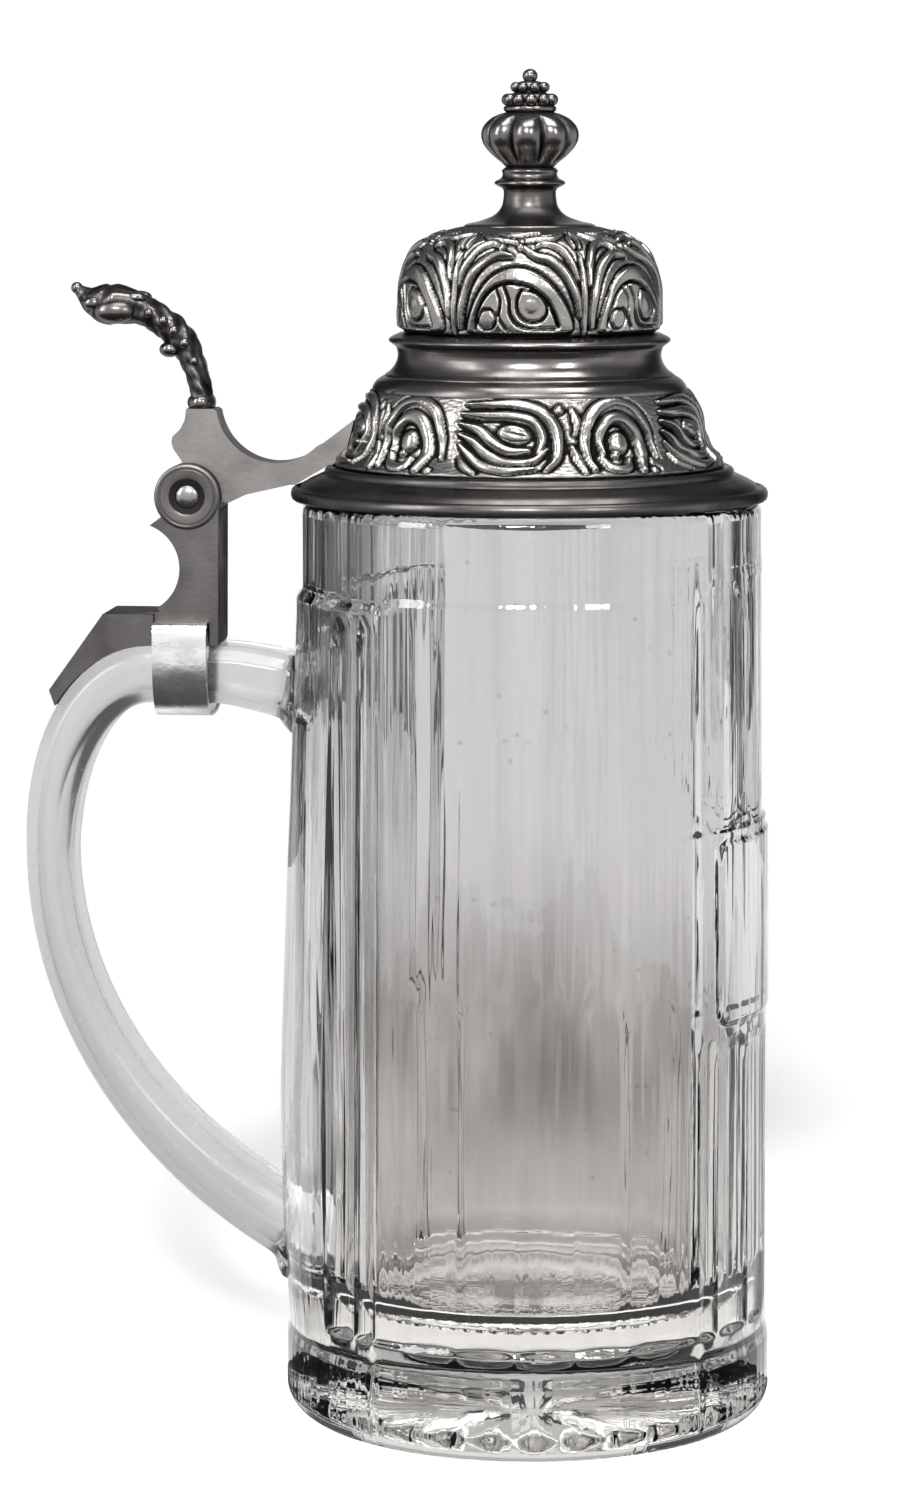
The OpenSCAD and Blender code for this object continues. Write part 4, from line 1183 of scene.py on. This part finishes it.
def make_band():
    """The polished band round the handle: an outline in the YZ plane, upright at the top
    and rolled in towards the bottom, carried along X with eased edges; the inner loop
    follows the handle's cut corners."""
    half, wide, high, low = 5.0, 10.5, 9.9, -7.9
    corner = [
        (0, high), (wide - 2.4, high), (wide - 0.7, high - 0.6), (wide - 0.05, high - 2.0),
        (wide, high - 5), (wide - 0.05, 1.6), (wide - 0.35, -0.8), (wide - 1.1, -3.4),
        (wide - 2.5, -5.8), (wide - 4.8, -7.3), (wide - 7.4, low), (0, low),
    ]
    side = evenly(through(corner, 160), 64)
    loop = np.vstack([side, (side * (-1, 1))[-2:0:-1]])
    h, w, cut = 5.42, 8.65, 2.6
    octagon = [(0, h), (w - cut, h), (w, h - cut), (w, cut - h), (w - cut, -h), (0, -h)]
    inside = evenly(np.array(octagon, float), 64)
    inner = np.vstack([inside, (inside * (-1, 1))[-2:0:-1]])
    d = np.roll(loop, -1, 0) - np.roll(loop, 1, 0)
    d /= np.linalg.norm(d, axis=1)[:, None]
    inward = np.stack([d[:, 1], -d[:, 0]], 1)
    inward *= np.where((inward * -loop).sum(1) > 0, 1, -1)[:, None]
    ease = 0.45
    rows = []

    def ring(yz, x):
        """One more loop of the band, x off its middle."""
        rows.append(np.stack([np.full(len(yz), BAND_X + x), yz[:, 0], BAND_Z + yz[:, 1]], 1))

    ring(inner, -half)
    for a in np.radians([90, 67, 45, 22, 0]):
        ring(loop + inward * ease * math.sin(a), ease - half - ease * math.cos(a))
    for x in np.linspace(ease - half, half - ease, 9)[1:-1]:
        ring(loop, x)
    for a in np.radians([0, 22, 45, 67, 90]):
        ring(loop + inward * ease * math.sin(a), half - ease + ease * math.cos(a))
    ring(inner, half)
    shape = grid(np.array(rows), around=True, along=True)
    shape = facing_out(shape, 7 * len(loop), len(loop), np.array([BAND_X, 0, BAND_Z]))
    return piece("handle_band_polished", shape, "stein", ("handle_band",), LIT_BAND,
                 crease=40)


def on_both_ears(outline, columns):
    """A closed outline of (radius, height over the ear's face) turned about the pin's
    axis on both outer faces of the shank."""
    parts = []
    for flank in (-1, 1):
        verts, quads, tris = turned(outline, columns)
        x, y, z = verts.T
        there = np.stack([HINGE[0] + x, flank * (EAR_FACE + z), HINGE[2] + y], 1)
        parts.append((there, quads[:, ::-1] if flank > 0 else quads, tris))
    return joined(parts)


def make_ear_rings():
    """A raised ring round the pin on each outer face of the shank, with a turned groove."""
    outline = [
        (3.25, -0.5), (3.25, 0.12), (3.4, 0.28), (3.7, 0.34), (4.9, 0.34), (5.05, 0.2), (5.25, 0.2),
        (5.4, 0.34), (5.7, 0.34), (5.95, 0.2), (6.02, 0.0), (6.02, -0.5),
    ]
    return piece("hinge_ear_rings", on_both_ears(outline[::-1], 96), "stein",
                 (), SHADED_SHANK, crease=35)


def make_pin_seat_shade():
    """A dark ring of painted shade at the bottom of the recess round each pin head."""
    outline = [(3.3, -0.3), (3.3, 0.05), (2.2, -0.05), (2.2, -0.3)]
    return piece("pin_seat_shade", on_both_ears(outline, 64), "stein",
                 (), PIN_SEAT_SHADE, crease=35)


# ---------------------------------------------------------------- floor, light and camera


CARD_TONE = 0.03
MIDDLE = (0, 0, 0.12)


def make_floor():
    """A wide pale floor with a faint glow of its own, just under the foot."""
    mesh = bpy.data.meshes.new("floor")
    half = 30.0
    mesh.from_pydata(
        [(-half, -half, 0), (half, -half, 0), (half, half, 0), (-half, half, 0)], [], [(0, 1, 2, 3)]
    )
    floor = bpy.data.objects.new("floor", mesh)
    bpy.context.scene.collection.objects.link(floor)
    material, _, shader, _ = node_material("pale_floor")
    shader.inputs["Base Color"].default_value = (0.9, 0.9, 0.9, 1)
    shader.inputs["Roughness"].default_value = 0.9
    shader.inputs["Specular IOR Level"].default_value = 0.1
    shader.inputs["Emission Color"].default_value = (1, 1, 1, 1)
    shader.inputs["Emission Strength"].default_value = 0.335
    mesh.materials.append(material)
    floor.location.z = -0.00005


def card(name, points, seen):
    """A matt dark card that only one kind of ray can meet."""
    mesh = bpy.data.meshes.new(name)
    mesh.from_pydata(points, [], [(0, 1, 2, 3)])
    sheet = bpy.data.objects.new(name, mesh)
    bpy.context.scene.collection.objects.link(sheet)
    material, _, shader, _ = node_material(name)
    shader.inputs["Base Color"].default_value = (CARD_TONE, CARD_TONE, CARD_TONE, 1)
    shader.inputs["Roughness"].default_value = 0.9
    mesh.materials.append(material)
    for kind in ("camera", "diffuse", "glossy", "transmission", "volume_scatter", "shadow"):
        setattr(sheet, "visible_" + kind, kind == seen)


def make_cards():
    """One card flat on the floor before the stein, and two upright ones behind it on each
    side: one seen only through the glass, one only mirrored in it and in the metal."""
    x, front, back, z = 0.5, -0.7, 0.02, 0.0005
    card("dark_card", [(-x, front, z), (x, front, z), (x, back, z), (-x, back, z)], "glossy")
    for side, near in ((-1, -0.205), (1, 0.23)):
        for name, wide, low, high, kind in (
            ("edge_card", 0.24, 0.045, 0.38, "transmission"),
            ("side_card", 0.5, 0.02, 0.9, "glossy"),
        ):
            far = near + side * wide
            points = [(near, 0.5, low), (far, 0.45, low), (far, 0.45, high), (near, 0.5, high)]
            card(f"{name}_{side + 1}", points, kind)


def make_world():
    """A studio that is white near the floor and grey overhead, and one even light grey
    for what is seen through the glass."""
    world = bpy.data.worlds.new("studio")
    bpy.context.scene.world = world
    world.use_nodes = True
    nodes, links = world.node_tree.nodes, world.node_tree.links
    look = nodes.new("ShaderNodeTexCoord")
    split = nodes.new("ShaderNodeSeparateXYZ")
    ramp = nodes.new("ShaderNodeValToRGB")
    links.new(look.outputs["Generated"], split.inputs["Vector"])
    links.new(split.outputs["Z"], ramp.inputs["Fac"])
    low, high = ramp.color_ramp.elements
    low.position, high.position = 0.10, 0.5
    low.color, high.color = (1, 1, 1, 1), (0.22, 0.22, 0.225, 1)
    path = nodes.new("ShaderNodeLightPath")
    lift = nodes.new("ShaderNodeMix")
    lift.data_type = "RGBA"
    links.new(path.outputs["Is Transmission Ray"], lift.inputs["Factor"])
    plain, through_glass = (socket for socket in lift.inputs if socket.type == "RGBA")
    links.new(ramp.outputs["Color"], plain)
    through_glass.default_value = (0.85, 0.85, 0.85, 1)
    mixed = next(socket for socket in lift.outputs if socket.type == "RGBA")
    links.new(mixed, nodes["Background"].inputs["Color"])
    nodes["Background"].inputs["Strength"].default_value = 1.05


def lamp(name, kind, place, aim, energy):
    """A lamp at a place, turned towards the point that it is aimed at."""
    made = bpy.data.objects.new(name, bpy.data.lights.new(name, kind))
    made.data.energy = energy
    bpy.context.scene.collection.objects.link(made)
    made.location = place
    made.rotation_euler = (Vector(aim) - Vector(place)).to_track_quat("-Z", "Y").to_euler()
    return made


def make_lamps():
    """A soft sun from the front for the floor's shadow, and three boxes that the metal
    and the glass mirror."""
    sun = lamp("sun", "SUN", (0.0, -0.97, 0.62), (0, 0, 0), 2.6)
    sun.data.angle = math.radians(8)
    for name, place, energy, wide, tall in (
        ("top_box", (0.1, -0.25, 1.2), 11, 0.9, 0.5),
        ("left_box", (-0.95, -0.65, 0.75), 9, 0.3, 0.9),
        ("right_box", (0.75, -0.95, 0.8), 6, 0.25, 0.5),
    ):
        box = lamp(name, "AREA", place, MIDDLE, energy)
        box.data.shape = "RECTANGLE"
        box.data.size, box.data.size_y = wide, tall
        box.visible_diffuse = False
        box.visible_transmission = False


def make_camera():
    """A long lens a little over the rim, five degrees round from square to the handle."""
    data = bpy.data.cameras.new("camera")
    obj = bpy.data.objects.new("camera", data)
    bpy.context.scene.collection.objects.link(obj)
    distance, height, turn = 0.860, 0.240, math.radians(5)
    obj.location = (distance * math.sin(turn), -distance * math.cos(turn), height)
    obj.rotation_euler = (math.radians(90 - 7.7), 0, turn + math.radians(0.87))
    data.sensor_fit = "AUTO"
    data.sensor_width = 36
    data.lens = 112.8
    bpy.context.scene.camera = obj
    bpy.context.scene.view_settings.view_transform = "Standard"
    paths = bpy.context.scene.cycles
    paths.max_bounces = 40
    paths.transmission_bounces = 40


make_camera()
make_floor()
make_cards()
make_world()
make_lamps()
make_glass()
make_flange()
make_skirt()
make_waist()
make_dome()
make_finial_foot()
make_knob()
make_crown()
make_thumblift()
eased_copy("hinge_shank_cast", "hinge_shank", "stein", SHADED_SHANK, 0.45)
make_band()
make_ear_rings()
make_pin_seat_shade()
eased_copy("lid_arm", "lid_tang", "lid", LIT_ARM, 0.4)
for cap in ("pin_cap_left", "pin_cap_right"):
    eased_copy(cap + "_domed", cap, "stein", PIN, 0.12, 2)
for node in ("hinge_pin", "finial_stud", "finial_nut"):
    kept = frame["nodes"][node].data
    kept.materials.clear()
    kept.materials.append(PIN)
